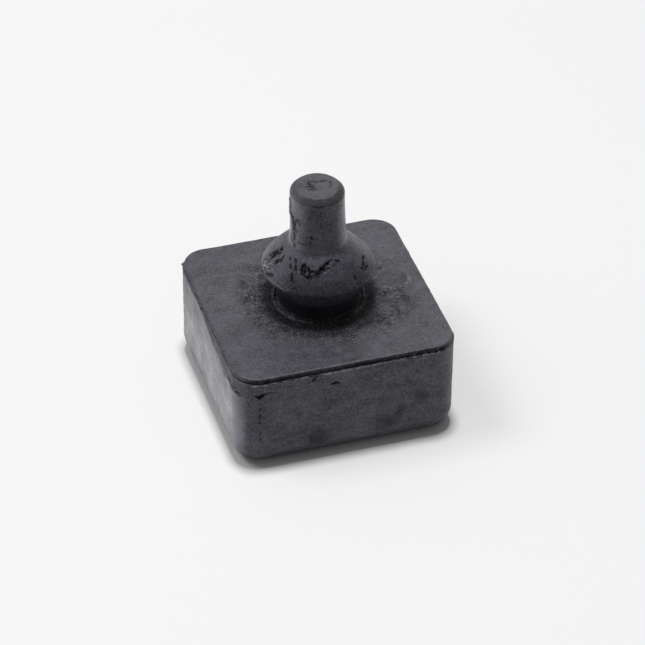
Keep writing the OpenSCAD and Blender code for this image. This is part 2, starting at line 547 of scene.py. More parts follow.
@dataclass(frozen=True)
class Apron:
    """The torn skin of flash that hangs from the parting line round the front left corner.

    Places along it are measured round the block from the middle of that corner, in
    millimetres: backwards along the left face below zero, rightwards along the front
    face above it.

    Attributes:
        hem: places along the skin, each with the height of its torn lower edge.
        thick: how far the skin stands off the face on the front.
        flare: how far its lower edge stands off the left face.
        tuck: how far its upper edge falls back on the left face.
    """

    hem: tuple[tuple[float, float], ...] = (
        (-13.0, 11.62),
        (-11.1, 11.05),
        (-9.7, 10.66),
        (-8.4, 10.36),
        (-6.6, 10.26),
        (-5.0, 10.08),
        (-3.5, 10.0),
        (-2.6, 10.4),
        (-0.5, 10.42),
        (0.25, 10.3),
        (0.9, 10.05),
        (1.7, 9.95),
        (2.4, 10.52),
        (3.2, 10.62),
        (5.1, 10.62),
        (6.2, 10.48),
        (7.1, 10.7),
        (7.6, 11.1),
        (8.3, 11.45),
    )
    thick: float = 0.1
    flare: float = 0.16
    tuck: float = 0.12

    def cover(self, along: np.ndarray, z: np.ndarray, parting_z: float) -> np.ndarray:
        """Work out where the skin covers the block's side.

        Args:
            along: place round the block of each point.
            z: height of each point.
            parting_z: height of the parting line.

        Returns:
            1 under the skin and 0 elsewhere, eased between them.
        """
        places, heights = np.array(self.hem).T
        hem = np.interp(along, places, heights, left=99.0, right=99.0)
        return smooth(-0.06, 0.05, z - hem) * (z < parting_z + 0.05)

    def relief(self, along: np.ndarray, z: np.ndarray, parting_z: float) -> np.ndarray:
        """Work out how far the skin lifts the block's side.

        Args:
            along: place round the block of each point.
            z: height of each point.
            parting_z: height of the parting line.

        Returns:
            The lift of each point, in millimetres.
        """
        places, heights = np.array(self.hem).T
        hem = np.interp(along, places, heights, left=99.0, right=99.0)
        inside = self.cover(along, z, parting_z)
        share = np.clip((z - hem) / np.maximum(parting_z - hem, 0.05), 0.0, 1.0)
        side = self.flare - (self.flare + self.tuck) * share
        front = np.full_like(z, self.thick)
        mix = smooth(-2.4, 0.8, along)
        return inside * (side * (1 - mix) + front * mix)


class Skin:
    """The whole moulding's surface, swept as rings from the tail's tip to the underside.

    Attributes:
        FLASH_TAGS: place round the block and reach of each tag that sticks out of the flash.
        BAND_TURNS: turns of the rings round the band's upper edge, in degrees.
        BAND_LEVELS: number of rings down the band's side.
    """

    FLASH_TAGS = ((-22.6, 0.16), (-23.6, 0.14), (-17.3, 0.12))
    BAND_TURNS = (22, 45, 68, 90)
    BAND_LEVELS = 3

    def __init__(self, block: BlockForm, stem: StemForm) -> None:
        """Keep the sizes and lay the rings.

        Args:
            block: the block's sizes.
            stem: the stem's sizes.
        """
        self.block = block
        self.stem = stem
        self.outline = Outline(block.width, block.depth, block.corner_r)
        self.edge, self.edge_normal = self.outline.trace()
        self.turn = np.arctan2(self.edge[:, 1], self.edge[:, 0])
        self.along = self.places_along()
        self.rings = self.tail_rings() + self.bulb_rings() + self.top_rings()
        self.rings += self.side_rings() + self.foot_rings()

    def places_along(self) -> np.ndarray:
        """Measure each outline point's place round the block, as the apron does.

        Returns:
            Millimetres from the middle of the front left corner.
        """
        middle = np.array([-self.block.width / 2, -self.block.depth / 2])
        first = int(np.argmin(np.linalg.norm(self.edge - middle, axis=1)))
        rolled = np.roll(self.edge, -first, axis=0)
        length = np.linalg.norm(np.roll(rolled, -1, axis=0) - rolled, axis=1)
        forward = np.concatenate([[0.0], np.cumsum(length[:-1])])
        total = float(length.sum())
        signed = np.where(forward > total / 2, forward - total, forward)
        return np.roll(signed, first)

    def on_side(self, along: float, z: float) -> tuple[float, float, float]:
        """Place on the block's side.

        Args:
            along: place round the block, as the apron measures it.
            z: its height.

        Returns:
            The place, in millimetres.
        """
        order = np.argsort(self.along)
        x, y = (float(np.interp(along, self.along[order], self.edge[order, k])) for k in (0, 1))
        return (x, y, z)

    def circle(self, r: float, z: float, skip: int = 1) -> np.ndarray:
        """Lay a ring round the stem.

        Args:
            r: its radius.
            z: its height above the seating face.
            skip: take every point, or every second one.

        Returns:
            The ring's points.
        """
        turn = self.turn[::skip]
        middle = self.stem.axis(z)
        level = np.full(len(turn), self.stem.base_z + z)
        return np.c_[middle[0] + r * np.cos(turn), middle[1] + r * np.sin(turn), level]

    def tail_rings(self) -> list[np.ndarray]:
        """Lay the rings of the tail, with half as many points."""
        return [self.circle(r, z, skip=2) for r, z in self.stem.tail_profile()]

    def bulb_rings(self) -> list[np.ndarray]:
        """Lay the rings of the bulb, the neck and the collar."""
        return [self.circle(r, z) for r, z in self.stem.lower_profile()]

    def square(self, inset: float | np.ndarray, z: float | np.ndarray) -> np.ndarray:
        """Lay a ring round the block.

        Args:
            inset: how far inside the outline it runs.
            z: its height above the underside.

        Returns:
            The ring's points.
        """
        inset = np.broadcast_to(inset, len(self.edge))
        xy = self.edge - inset[:, None] * self.edge_normal
        return np.c_[xy, np.broadcast_to(z, len(xy))]

    def top_rings(self) -> list[np.ndarray]:
        """Lay the rings of the seating face, from the collar out to its edge.

        Returns:
            The rings, from the inside out.
        """
        inner = self.circle(self.stem.collar_r, 0.0)
        outer = self.square(self.block.band_inset + self.block.band_r, self.block.height)
        shares = np.linspace(0, 1, 46)[1:]
        return [inner + share * (outer - inner) for share in shares]

    def seam_flash(self) -> np.ndarray:
        """Work out the flash's broken reach at each outline point.

        Returns:
            Its reach in millimetres.
        """
        spots = np.c_[self.edge, np.zeros(len(self.edge))]
        reach = self.block.flash * (1.0 + 1.1 * wobble(spots, 0.9, 3.0) + 0.8 * wobble(spots, 0.3, 7.0))
        gap = smooth(0.35, 0.0, np.abs(self.along - 8.75))
        reach += 0.1 * self.ledge(self.along)
        reach = np.clip(reach * (1 - gap), 0.0, 0.2)
        for place, height in self.FLASH_TAGS:
            reach += height * smooth(0.3, 0.1, np.abs(self.along - place))
        return reach

    @staticmethod
    def ledge(along: np.ndarray) -> np.ndarray:
        """Say where the flash on the front stands out as a thin ledge.

        Args:
            along: place round the block of each point.

        Returns:
            How far it stands out at each point, from 0 to 1.
        """
        spots = np.c_[along, np.zeros((len(along), 2))]
        broken = wobble(spots, 0.6, 16.0) + 0.7 * wobble(spots, 0.25, 18.0)
        return smooth(8.9, 9.3, along) * smooth(18.2, 16.5, along) * smooth(-0.3, 0.1, broken)

    def seam_masks(self) -> tuple[np.ndarray, np.ndarray]:
        """Find the painted shade in the slit over the parting line and the painted highlight on the ledge
        of flash under it.

        Returns:
            How dark and how pale each vertex is, from 0 to 1.
        """
        above = len(self.tail_rings()) + len(self.bulb_rings()) + len(self.top_rings())
        first = above + len(self.BAND_TURNS) + self.BAND_LEVELS
        starts = np.concatenate([[0], np.cumsum([len(ring) for ring in self.rings])])
        dark = np.zeros(int(starts[-1]) + 2)
        pale = np.zeros(len(dark))
        spots = np.c_[self.edge, np.zeros(len(self.edge))]
        torn = np.clip(0.75 + 0.5 * wobble(spots, 1.1, 17.0) + 0.6 * wobble(spots, 0.3, 19.0), 0.0, 1.0)
        worn = 1.0 - 0.4 * smooth(9.0, 9.6, self.along) * smooth(19.5, 18.5, self.along)
        # The slit over the parting line is painted dark: painted shade in the crease.
        for ring, share in ((first, 0.7), (first + 1, 0.9), (first + 2, 0.45)):
            dark[starts[ring] : starts[ring + 1]] = share * torn * worn
        # The ledge of flash under it is painted pale: a painted highlight where it catches the light.
        for ring in (first + 3, first + 4):
            pale[starts[ring] : starts[ring + 1]] = 0.8 * self.ledge(self.along)
        return dark, pale

    def side_rings(self) -> list[np.ndarray]:
        """Lay the rings of the band, the seam and the block's sides.

        Returns:
            The rings, from the top down.
        """
        block = self.block
        rings = []
        for turn in np.radians(self.BAND_TURNS):
            inset = block.band_inset + block.band_r * (1 - math.sin(turn))
            rings.append(self.square(inset, block.height - block.band_r * (1 - math.cos(turn))))
        for z in np.linspace(block.height - block.band_r, block.parting_z + 0.14, self.BAND_LEVELS + 1)[1:]:
            rings.append(self.square(block.band_inset, z))
        flash = self.seam_flash()
        spots = np.c_[self.edge, np.zeros(len(self.edge))]
        wander = 0.1 * wobble(spots, 1.8, 13.0) + 0.1 * wobble(spots, 0.45, 14.0)
        slit = block.band_inset + block.seam_depth * (1.0 + 0.5 * wobble(spots, 0.7, 15.0))
        seam = (
            (slit * 0.9, 0.04),
            (slit, -0.01),
            (0.1 - flash * 0.6, -0.03),
            (-flash, -0.05),
            (-flash, -0.1),
            (-0.3 * flash, -0.15),
        )
        rings += [self.square(inset, block.parting_z + wander + rise) for inset, rise in seam]
        under_seam = block.parting_z - 0.22
        close = np.linspace(under_seam, block.fine_z, 18)
        wide = np.linspace(block.fine_z, block.foot_r, 31)[1:]
        rings += [self.square(0.0, z) for z in np.concatenate([close, wide])]
        for turn in np.radians(np.linspace(0, 90, 14)[1:]):
            inset = block.foot_r * (1 - math.cos(turn))
            rings.append(self.square(inset, block.foot_r * (1 - math.sin(turn))))
        return rings

    def foot_rings(self) -> list[np.ndarray]:
        """Lay the rings of the underside, with half as many points."""
        last = self.square(self.block.foot_r, 0.0)[::2]
        return [last * np.array([share, share, 1.0]) for share in (0.97, 0.85, 0.65, 0.45, 0.25, 0.1)]

    def faces(self) -> list[tuple[int, ...]]:
        """Join each ring to the next one, and close both ends with a fan.

        Returns:
            The faces, as the numbers of their corners, all facing out.
        """
        faces = []
        starts = np.concatenate([[0], np.cumsum([len(ring) for ring in self.rings])])
        for upper, lower in zip(range(len(self.rings)), range(1, len(self.rings))):
            a, b = int(starts[upper]), int(starts[lower])
            n_a, n_b = len(self.rings[upper]), len(self.rings[lower])
            if n_a == n_b:
                for k in range(n_a):
                    m = (k + 1) % n_a
                    faces.append((a + k, b + k, b + m, a + m))
            elif n_a < n_b:
                for k in range(n_a):
                    m = (k + 1) % n_a
                    left, mid, right = b + 2 * k, b + 2 * k + 1, b + (2 * k + 2) % n_b
                    faces += [(a + k, left, mid), (a + k, mid, a + m), (a + m, mid, right)]
            else:
                for k in range(n_b):
                    m = (k + 1) % n_b
                    left, mid, right = a + 2 * k, a + 2 * k + 1, a + (2 * k + 2) % n_a
                    faces += [(left, b + k, mid), (mid, b + k, b + m), (mid, b + m, right)]
        tip, foot = int(starts[-1]), int(starts[-1]) + 1
        n_tip, n_foot = len(self.rings[0]), len(self.rings[-1])
        faces += [(tip, k, (k + 1) % n_tip) for k in range(n_tip)]
        last = int(starts[-2])
        faces += [(foot, last + (k + 1) % n_foot, last + k) for k in range(n_foot)]
        return faces

    def vertices(self) -> np.ndarray:
        """Stack the rings' points and the two end points.

        Returns:
            The points, one row each, in millimetres.
        """
        ends = np.array([self.rings[0].mean(axis=0), [0.0, 0.0, 0.0]])
        return np.vstack(self.rings + [ends])

    def along_each(self) -> np.ndarray:
        """Give every vertex its place round the block.

        Returns:
            One number for each vertex.
        """
        full = len(self.edge)
        parts = [self.along if len(ring) == full else self.along[::2] for ring in self.rings]
        return np.concatenate(parts + [np.zeros(2)])


# ---------------------------------------------------------------- relief


@dataclass(frozen=True)
class Graze:
    """A patch of skin that is rubbed or torn into crumbs.

    Attributes:
        place: surface that it lies on.
        path: corners of its middle line, measured as the place says.
        reach: half its width, in millimetres.
        rough: height of its crumbs.
        soot_and_shade: how dark its hollows are, from 0 to 1: painted shade between its crumbs, and patchy
            dark smudges where it lies flat.
        pale: how pale its crumbs are, from 0 to 1.
    """

    place: Place
    path: tuple[tuple[float, float], ...]
    reach: float
    rough: float
    soot_and_shade: float
    pale: float


GRAZES = (
    Graze(Place.STEM, ((-127, 6.8), (-122, 6.55)), 0.5, 0.1, 1.0, 0.1),
    Graze(Place.STEM, ((-113, 6.5), (-104, 6.7), (-96, 7.1)), 0.34, 0.06, 0.8, 0.1),
    Graze(Place.STEM, ((-46, 5.0), (-40, 5.6), (-32, 6.0)), 0.4, 0.04, 0.6, 0.15),
    Graze(Place.STEM, ((168, 5.8), (173, 6.3), (177, 7.0)), 0.5, 0.2, 1.0, 0.45),
    Graze(Place.STEM, ((176, 5.5), (-177, 5.5), (-172, 5.9)), 0.55, 0.2, 0.6, 1.0),
    Graze(Place.STEM, ((164, 6.4), (168, 5.4), (175, 4.8), (-176, 4.7)), 0.5, 0.22, 0.9, 0.9),
    Graze(Place.STEM, ((-170, 11.6), (-163, 10.4), (-161, 8.8)), 0.34, 0.06, 0.7, 0.45),
    Graze(Place.STEM, ((-70, 4.9), (-52, 4.8), (-38, 4.7)), 0.3, 0.05, 0.7, 0.3),
    Graze(Place.STEM, ((-40, 4.7), (-20, 4.6)), 0.26, 0.05, 0.7, 0.3),
    Graze(Place.SIDE, ((-4.2, 10.0), (-3.4, 9.8), (-2.7, 9.75)), 0.26, 0.1, 0.5, 1.0),
    Graze(Place.SIDE, ((-3.6, 8.0), (-3.2, 7.0), (-3.0, 6.2)), 0.3, 0.03, 0.8, 0.2),
    Graze(Place.SIDE, ((-2.9, 5.0), (-2.5, 3.4), (-1.9, 2.6)), 0.4, 0.04, 0.8, 0.4),
    Graze(Place.SIDE, ((-9.2, 10.55), (-6.4, 10.25), (-3.6, 10.1)), 0.22, 0.06, 0.75, 0.5),
    Graze(Place.SIDE, ((-3.6, 10.4), (-2.6, 10.5), (-1.0, 10.2), (0.2, 10.15)), 0.26, 0.07, 0.7, 0.6),
    Graze(Place.SIDE, ((-16.0, 11.7), (-12.0, 11.4), (-9.2, 10.6)), 0.2, 0.04, 0.6, 0.4),
    Graze(Place.TIP, ((-0.95, -0.1), (-0.5, 0.1), (-0.3, 0.5)), 0.5, 0.03, 0.55, 0.1),
    Graze(Place.TOP, ((-10.6, 1.1), (-9.8, 0.2)), 0.5, 0.02, 0.5, 0.2),
    Graze(Place.TOP, ((7.6, -4.6), (8.6, -5.4)), 0.5, 0.03, 0.7, 0.4),
    Graze(Place.FRONT, ((5.6, 11.7), (8.8, 11.65), (12.0, 11.75)), 0.36, 0.1, 1.0, 0.5),
    Graze(Place.FRONT, ((-4.6, 10.9), (-3.7, 11.4)), 0.4, 0.06, 0.75, 0.3),
    Graze(Place.FRONT, ((5.4, 5.4), (6.2, 4.8)), 0.7, 0.01, 0.42, 0.1),
    Graze(Place.FRONT, ((3.6, 3.6), (4.6, 3.9)), 0.6, 0.01, 0.42, 0.1),
    Graze(Place.FRONT, ((-10.3, 2.2), (-9.6, 1.8)), 0.6, 0.03, 0.6, 0.3),
)


@dataclass
class Relief:
    """Everything that the mould, the trimming and the handling left on the skin.

    Attributes:
        skin: the skin before it is worked.
        block: the block's sizes.
        stem: the stem's sizes.
        sway: height of the slow waves left by the mould.
        pebble: height of the fine grain.
        speckle: height of the crumbs stuck in the rubber round the stem.
        grit_reach: bearing round the stem and how far out the crumbs reach there.
        disc_x: where the ring mark's middle lies along X.
        disc_y: where it lies along Y.
        disc_r: radius of the ring mark.
        smudges: place along X, height and size of the soft dark smudges on the front.
    """

    skin: Skin
    block: BlockForm
    stem: StemForm
    sway: float = 0.03
    pebble: float = 0.012
    speckle: float = 0.08
    grit_reach: tuple[tuple[float, float], ...] = (
        (-180, 9.0),
        (-145, 9.4),
        (-110, 8.4),
        (-66, 9.2),
        (-30, 11.4),
        (0, 10.6),
        (60, 9.0),
        (141, 9.8),
        (180, 9.0),
    )
    disc_x: float = 9.0
    disc_y: float = 0.9
    disc_r: float = 1.9
    smudges: tuple[tuple[float, float, float], ...] = (
        (5.9, 5.0, 1.1),
        (4.3, 3.6, 1.3),
        (8.0, 5.8, 1.0),
        (-3.5, 2.9, 1.2),
    )

    def marks(self) -> tuple[Scar, ...]:
        """List every scar on the part."""
        return TAIL_TEARS + DOME_PITS + DOME_CREASES + DOME_TORN_SIDE + TIP_PIP + FACE_MARKS

    def around(self, points: np.ndarray, z: float = 0.0) -> tuple[np.ndarray, np.ndarray]:
        """Measure each place from the stem's middle line.

        Args:
            points: places on the skin, one row each.
            z: height above the seating face at which that line is taken.

        Returns:
            How far aside each place lies along X and Y, and its distance.
        """
        off = points[:, :2] - self.stem.axis(z)
        return off, np.linalg.norm(off, axis=1)

    def on_top(self, points: np.ndarray, spare: float) -> np.ndarray:
        """Say which places lie on the seating face, give or take a height to spare."""
        return np.abs(points[:, 2] - self.block.height) < spare

    def near(self, points: np.ndarray, mark: Scar | Graze, spare: float) -> tuple[np.ndarray, np.ndarray]:
        """Find the places that a mark can reach.

        Args:
            points: places on the skin, one row each.
            mark: the mark.
            spare: how far beyond its path to look.

        Returns:
            The numbers of those places and their distances from the mark's path.
        """
        put = {
            Place.STEM: self.stem.at,
            Place.TIP: self.stem.on_tip,
            Place.TOP: self.block.on_top,
            Place.FRONT: self.block.on_front,
            Place.SIDE: self.skin.on_side,
        }[mark.place]
        path = np.array([put(*pair) for pair in mark.path], float)
        low, high = path.min(axis=0) - spare, path.max(axis=0) + spare
        found = np.flatnonzero(((points > low) & (points < high)).all(axis=1))
        return found, path_distance(points[found], path)

    def scars(self, points: np.ndarray) -> tuple[np.ndarray, np.ndarray]:
        """Press the scars into the skin.

        Args:
            points: places on the skin, one row each.

        Returns:
            The lift of each place, and how dark it is inside the scars, partly as painted shade.
        """
        lift = np.zeros(len(points))
        soot_and_shade = np.zeros(len(points))
        for number, scar in enumerate(self.marks()):
            found, distance = self.near(points, scar, 4.0 * scar.reach)
            if not len(found):
                continue
            spots = points[found]
            wander = wobble(spots, 0.45, 11.0 + number) + 0.9 * wobble(spots, 0.2, 5.0 - number)
            gap = distance / scar.reach + 1.5 * scar.ragged * wander
            lift[found] -= scar.depth * smooth(1.2, 0.3, gap)
            lift[found] += scar.lip * smooth(1.0, 1.35, gap) * smooth(2.2, 1.5, gap)
            soot_and_shade[found] = np.maximum(soot_and_shade[found], scar.soot_and_shade * np.clip(1.3 - 0.55 * gap, 0.0, 1.0))
        return lift, soot_and_shade

    def grazes(self, points: np.ndarray) -> tuple[np.ndarray, np.ndarray, np.ndarray]:
        """Tear the grazed patches into crumbs.

        Args:
            points: places on the skin, one row each.

        Returns:
            The lift, the darkness painted into the hollows as shade, and the paleness of each place.
        """
        lift = np.zeros(len(points))
        soot_and_shade = np.zeros(len(points))
        pale = np.zeros(len(points))
        for number, graze in enumerate(GRAZES):
            found, distance = self.near(points, graze, 2.0 * graze.reach)
            if not len(found):
                continue
            spots = points[found]
            inside = smooth(1.3, 0.5, distance / graze.reach + 0.5 * wobble(spots, 0.6, 3.0 * number))
            lump = wobble(spots, 0.3, 50.0 + number) + 0.6 * wobble(spots, 0.14, 70.0 + number)
            lift[found] += graze.rough * inside * lump
            # Darkness painted into the hollows between the crumbs: painted shade.
            soot_and_shade[found] = np.maximum(soot_and_shade[found], graze.soot_and_shade * inside * smooth(0.05, -0.35, lump))
            pale[found] = np.maximum(pale[found], graze.pale * inside * smooth(0.15, 0.5, lump))
        return lift, soot_and_shade, pale

    def grit(self, points: np.ndarray) -> np.ndarray:
        """Work out where crumbs cling: a ragged ring round the stem, and the ring mark's rim.

        Args:
            points: places on the skin, one row each.

        Returns:
            How thick the crumbs lie, from 0 to 1.
        """
        off, r = self.around(points)
        bearing = np.degrees(np.arctan2(off[:, 1], off[:, 0]))
        bearings, reaches = np.array(self.grit_reach).T
        reach = np.interp(bearing, bearings, reaches) + 0.5 * wobble(points, 1.3, 21.0)
        lumps = 0.6 + 0.7 * wobble(points, 1.2, 23.0) + 0.7 * wobble(points, 0.5, 24.0)
        ring = smooth(0.6, -1.8, r - reach) * np.clip(lumps, 0.0, 1.0)
        away = self.disc_distance(points) - self.disc_r
        ring *= 0.3 + 0.7 * smooth(-0.4, 0.1, away)
        return self.on_top(points, 0.25) * np.clip(ring, 0.0, 1.0)

    def disc_rim(self, points: np.ndarray) -> np.ndarray:
        """Work out how pale the broken rim of the ring mark is.

        Args:
            points: places on the skin, one row each.

        Returns:
            How pale each place is, from 0 to 1.
        """
        away = self.disc_distance(points) - self.disc_r + 0.12 * wobble(points, 0.7, 35.0)
        front = 0.45 + 0.55 * smooth(0.5, -1.0, points[:, 1] - self.disc_y)
        crumbs = smooth(-0.15, 0.35, wobble(points, 0.22, 36.0) + 0.5 * wobble(points, 0.6, 37.0))
        return self.on_top(points, 0.25) * smooth(0.3, 0.08, np.abs(away)) * front * crumbs

    def disc_distance(self, points: np.ndarray) -> np.ndarray:
        """Distance of each place from the middle of the ring mark."""
        return np.hypot(points[:, 0] - self.disc_x, points[:, 1] - self.disc_y)

    def shade(self, points: np.ndarray) -> np.ndarray:
        """Work out where black is painted: painted shade round the neck, in the groove, on the dome's front
        and at the left face's foot, and the darker front band, the smudges and the ring mark.

        Args:
            points: places on the skin, one row each.

        Returns:
            How black each place is, from 0 to 1.
        """
        dark = 0.85 * self.neck_shade(points) + self.stem_shade(points) + self.side_shade(points)
        disc = smooth(self.disc_r, self.disc_r - 0.4, self.disc_distance(points)) * self.on_top(points, 0.3)
        return np.clip(dark + 0.3 * disc, 0.0, 1.0)

    def neck_shade(self, points: np.ndarray) -> np.ndarray:
        """Work out the painted shadow of the bulb on the seating face round the neck, reaching furthest in
        front.

        Args:
            points: places on the skin, one row each.

        Returns:
            How black each place is, from 0 to 1.
        """
        off, r = self.around(points)
        ahead = 0.9 * smooth(0.2, 1.0, -(off @ np.array([0.1, 0.95])) / np.maximum(r, 0.1))
        near_neck = smooth(7.6, 6.1, r - ahead + 0.8 * wobble(points, 0.9, 25.0))
        return near_neck * self.on_top(points, 0.3) * (1.0 - 0.8 * self.ring_painted_highlight(points))

    def stem_shade(self, points: np.ndarray) -> np.ndarray:
        """Work out the painted shade in the groove under the bulb and on the dome's lower front, which lies
        in shade.

        Args:
            points: places on the skin, one row each.

        Returns:
            How black each place is, from 0 to 1.
        """
        off, _ = self.around(points)
        over = points[:, 2] - self.block.height
        groove = (over > 0.3) * (over < 2.2)
        ahead = smooth(-0.4, 0.5, off @ np.array([0.35, -0.93]) / 5.0)
        return 0.78 * groove + 0.58 * smooth(7.6, 4.6, over) * (over > 4.2) * ahead

    def side_shade(self, points: np.ndarray) -> np.ndarray:
        """Work out how dark the band is on the front, the painted shade on the rounded foot of the left
        face, and the front's soft smudges.

        Args:
            points: places on the skin, one row each.

        Returns:
            How black each place is, from 0 to 1.
        """
        _, r = self.around(points)
        over = points[:, 2] - self.block.height
        band = smooth(-0.05, -0.2, over) * smooth(-self.block.band_h - 0.06, -self.block.band_h, over)
        band *= (r > 9.0) * smooth(11.5, 12.0, -points[:, 1]) * (0.85 + 0.5 * wobble(points, 0.5, 42.0))
        # The rounded foot of the left face is painted dark: painted shade.
        dark = 0.9 * band + 0.5 * smooth(3.0, 1.4, points[:, 2]) * smooth(-11.9, -12.2, points[:, 0])
        front = smooth(11.9, 12.2, -points[:, 1]) * (over < -1.0)
        for x, z, size in self.smudges:
            away = np.hypot(points[:, 0] - x, points[:, 2] - z) + 0.7 * size * wobble(points, 0.9, 40.0)
            dark = dark + 0.42 * front * smooth(1.4 * size, 0.2 * size, away)
        return dark

    def bloom_and_painted_light(self, points: np.ndarray, normals: np.ndarray) -> np.ndarray:
        """Work out where what faces up is paler: bloomed grey with painted light, most at the back and
        right, least at the front.

        Args:
            points: places on the skin, one row each.
            normals: the skin's outward normals there.

        Returns:
            How grey each place is, from 0 to 1.
        """
        # Painted light: paler towards the back and the right, and a little darker left of the stem.
        back = 0.55 + 0.45 * smooth(-9.5, 3.0, points[:, 1])
        right = 0.9 + 0.5 * smooth(-2.0, 8.0, points[:, 0])
        patches = 1.0 + 0.5 * wobble(points, 2.6, 61.0) + 0.3 * wobble(points, 0.9, 62.0)
        right *= 1.0 - 0.22 * smooth(4.5, 1.0, np.hypot(points[:, 0] + 7.5, 0.7 * (points[:, 1] + 2.5)))
        return np.clip(smooth(0.75, 0.98, normals[:, 2]) * back * right * patches, 0.0, 1.0)

    def dun(self, points: np.ndarray) -> np.ndarray:
        """Work out where brown dust lies: on the bevel round the tip.

        Args:
            points: places on the skin, one row each.

        Returns:
            How thick it lies, from 0 to 1.
        """
        down = self.stem.base_z + self.stem.tip_z - points[:, 2]
        _, r = self.around(points, self.stem.tip_z)
        bevel = smooth(-0.25, 0.25, r - self.stem.tip_r + self.stem.bevel) * smooth(0.95, 0.6, down)
        return np.clip(bevel * (0.8 + 0.6 * wobble(points, 0.7, 27.0)), 0.0, 1.0)

    def tip_line(self, points: np.ndarray) -> np.ndarray:
        """Work out the dark line under the tip's bevel, darkest at the front right.

        Args:
            points: places on the skin, one row each.

        Returns:
            How dark it is, from 0 to 1.
        """
        down = self.stem.base_z + self.stem.tip_z - points[:, 2]
        off, _ = self.around(points, self.stem.tip_z)
        front_right = smooth(-0.5, 1.0, (off @ np.array([0.45, -0.9])) / self.stem.tip_r)
        line = smooth(0.16, 0.04, np.abs(down - self.stem.bevel - 0.14 - 0.06 * wobble(points, 0.8, 29.0)))
        return line * (down < 1.0) * (0.25 + 0.75 * front_right) * (0.7 + 0.6 * wobble(points, 0.35, 30.0))

    def waves(self, points: np.ndarray, normals: np.ndarray) -> np.ndarray:
        """Work out the slow waves and streaks of the moulded faces.

        Args:
            points: places on the skin, one row each.
            normals: the skin's outward normals there.

        Returns:
            The lift of each place.
        """
        lift = self.sway * wobble(points, 3.4, 1.0) + 0.4 * self.sway * wobble(points, 1.1, 2.0)
        lift += self.pebble * wobble(points, 0.32, 4.0)
        left = smooth(0.6, 0.95, -normals[:, 0])
        return lift + left * 0.022 * wobble(points, (1.0, 4.5, 0.7), 6.0)

    def ring_breaks(self, points: np.ndarray) -> np.ndarray:
        """Work out how the ring squeezed out round the neck's root swells and breaks.

        Args:
            points: places on the skin, one row each.

        Returns:
            The lift of each place.
        """
        _, r = self.around(points)
        middle = self.stem.collar_r - self.stem.collar_w
        ridge = smooth(0.2, 0.06, np.abs(r - middle)) * self.on_top(points, 0.4)
        return ridge * (0.12 * wobble(points, 0.8, 33.0) + 0.1 * wobble(points, 0.25, 38.0))

    def ring_painted_highlight(self, points: np.ndarray) -> np.ndarray:
        """Work out the painted highlight on that ring: at its sides, where light falls on it, not in front,
        where it lies in shade.

        Args:
            points: places on the skin, one row each.

        Returns:
            How pale each place is, from 0 to 1.
        """
        off, r = self.around(points)
        middle = self.stem.collar_r - self.stem.collar_w
        ridge = smooth(0.17, 0.09, np.abs(r - middle)) * self.on_top(points, 0.4)
        aside = smooth(0.42, 0.72, np.abs(off[:, 0]) / np.maximum(r, 0.1))
        broken = 0.6 + 0.7 * wobble(points, 0.6, 34.0) + 0.6 * wobble(points, 0.2, 39.0)
        return ridge * aside * np.clip(broken, 0.0, 1.0)

    def slick(self, points: np.ndarray, normals: np.ndarray, apron: np.ndarray) -> np.ndarray:
        """Work out where the rubber is smooth: on the left face, and on the stem's sides.

        Args:
            points: places on the skin, one row each.
            normals: the skin's outward normals there.
            apron: where the torn skin under the seam covers them, from 0 to 1.

        Returns:
            How smooth each place is, from 0 to about 1.3.
        """
        x, z = normals[:, 0], points[:, 2]
        low = smooth(self.block.height, 4.0, z) * (0.1 + 0.9 * smooth(1.2, 4.2, z))
        low *= 0.8 + 0.35 * smooth(6.0, -6.0, points[:, 1])
        face = smooth(0.55, 0.95, -x) * (z < self.block.parting_z)
        stem = 0.75 * smooth(0.5, 1.0, -x) + 0.5 * smooth(0.4, 1.0, x)
        return face * (1.0 - 0.9 * apron) * (0.4 + 0.8 * low) + stem * (z > self.block.height + 4.4)


@dataclass(frozen=True)
class Masks:
    """What the finish needs to know of each vertex, each a number from 0 to about 1.

    Attributes:
        soot_and_shade: how dark the scars are inside, with painted shade in hollows and in the seam's slit.
        grit: how thick the crumbs lie.
        shade: how black it is painted: painted shade, the darker front band, smudges and the ring mark.
        dun: how thick brown dust lies.
        pale: how pale torn rubber and crumbs are, with painted highlights on the flash ledge and the ring
            round the neck.
        slick: how smooth the rubber is.
        bloom_and_painted_light: how pale it is on what faces up: bloomed grey with painted light.
    """

    soot_and_shade: np.ndarray
    grit: np.ndarray
    shade: np.ndarray
    dun: np.ndarray
    pale: np.ndarray
    slick: np.ndarray
    bloom_and_painted_light: np.ndarray

    def write(self, mesh: bpy.types.Mesh) -> None:
        """Store each mask as an attribute of the mesh.

        Args:
            mesh: mesh that gets them, with one vertex for each number.
        """
        for field in fields(self):
            layer = mesh.attributes.new(field.name, "FLOAT", "POINT")
            layer.data.foreach_set("value", getattr(self, field.name).astype(np.float32))


# ---------------------------------------------------------------- finishes


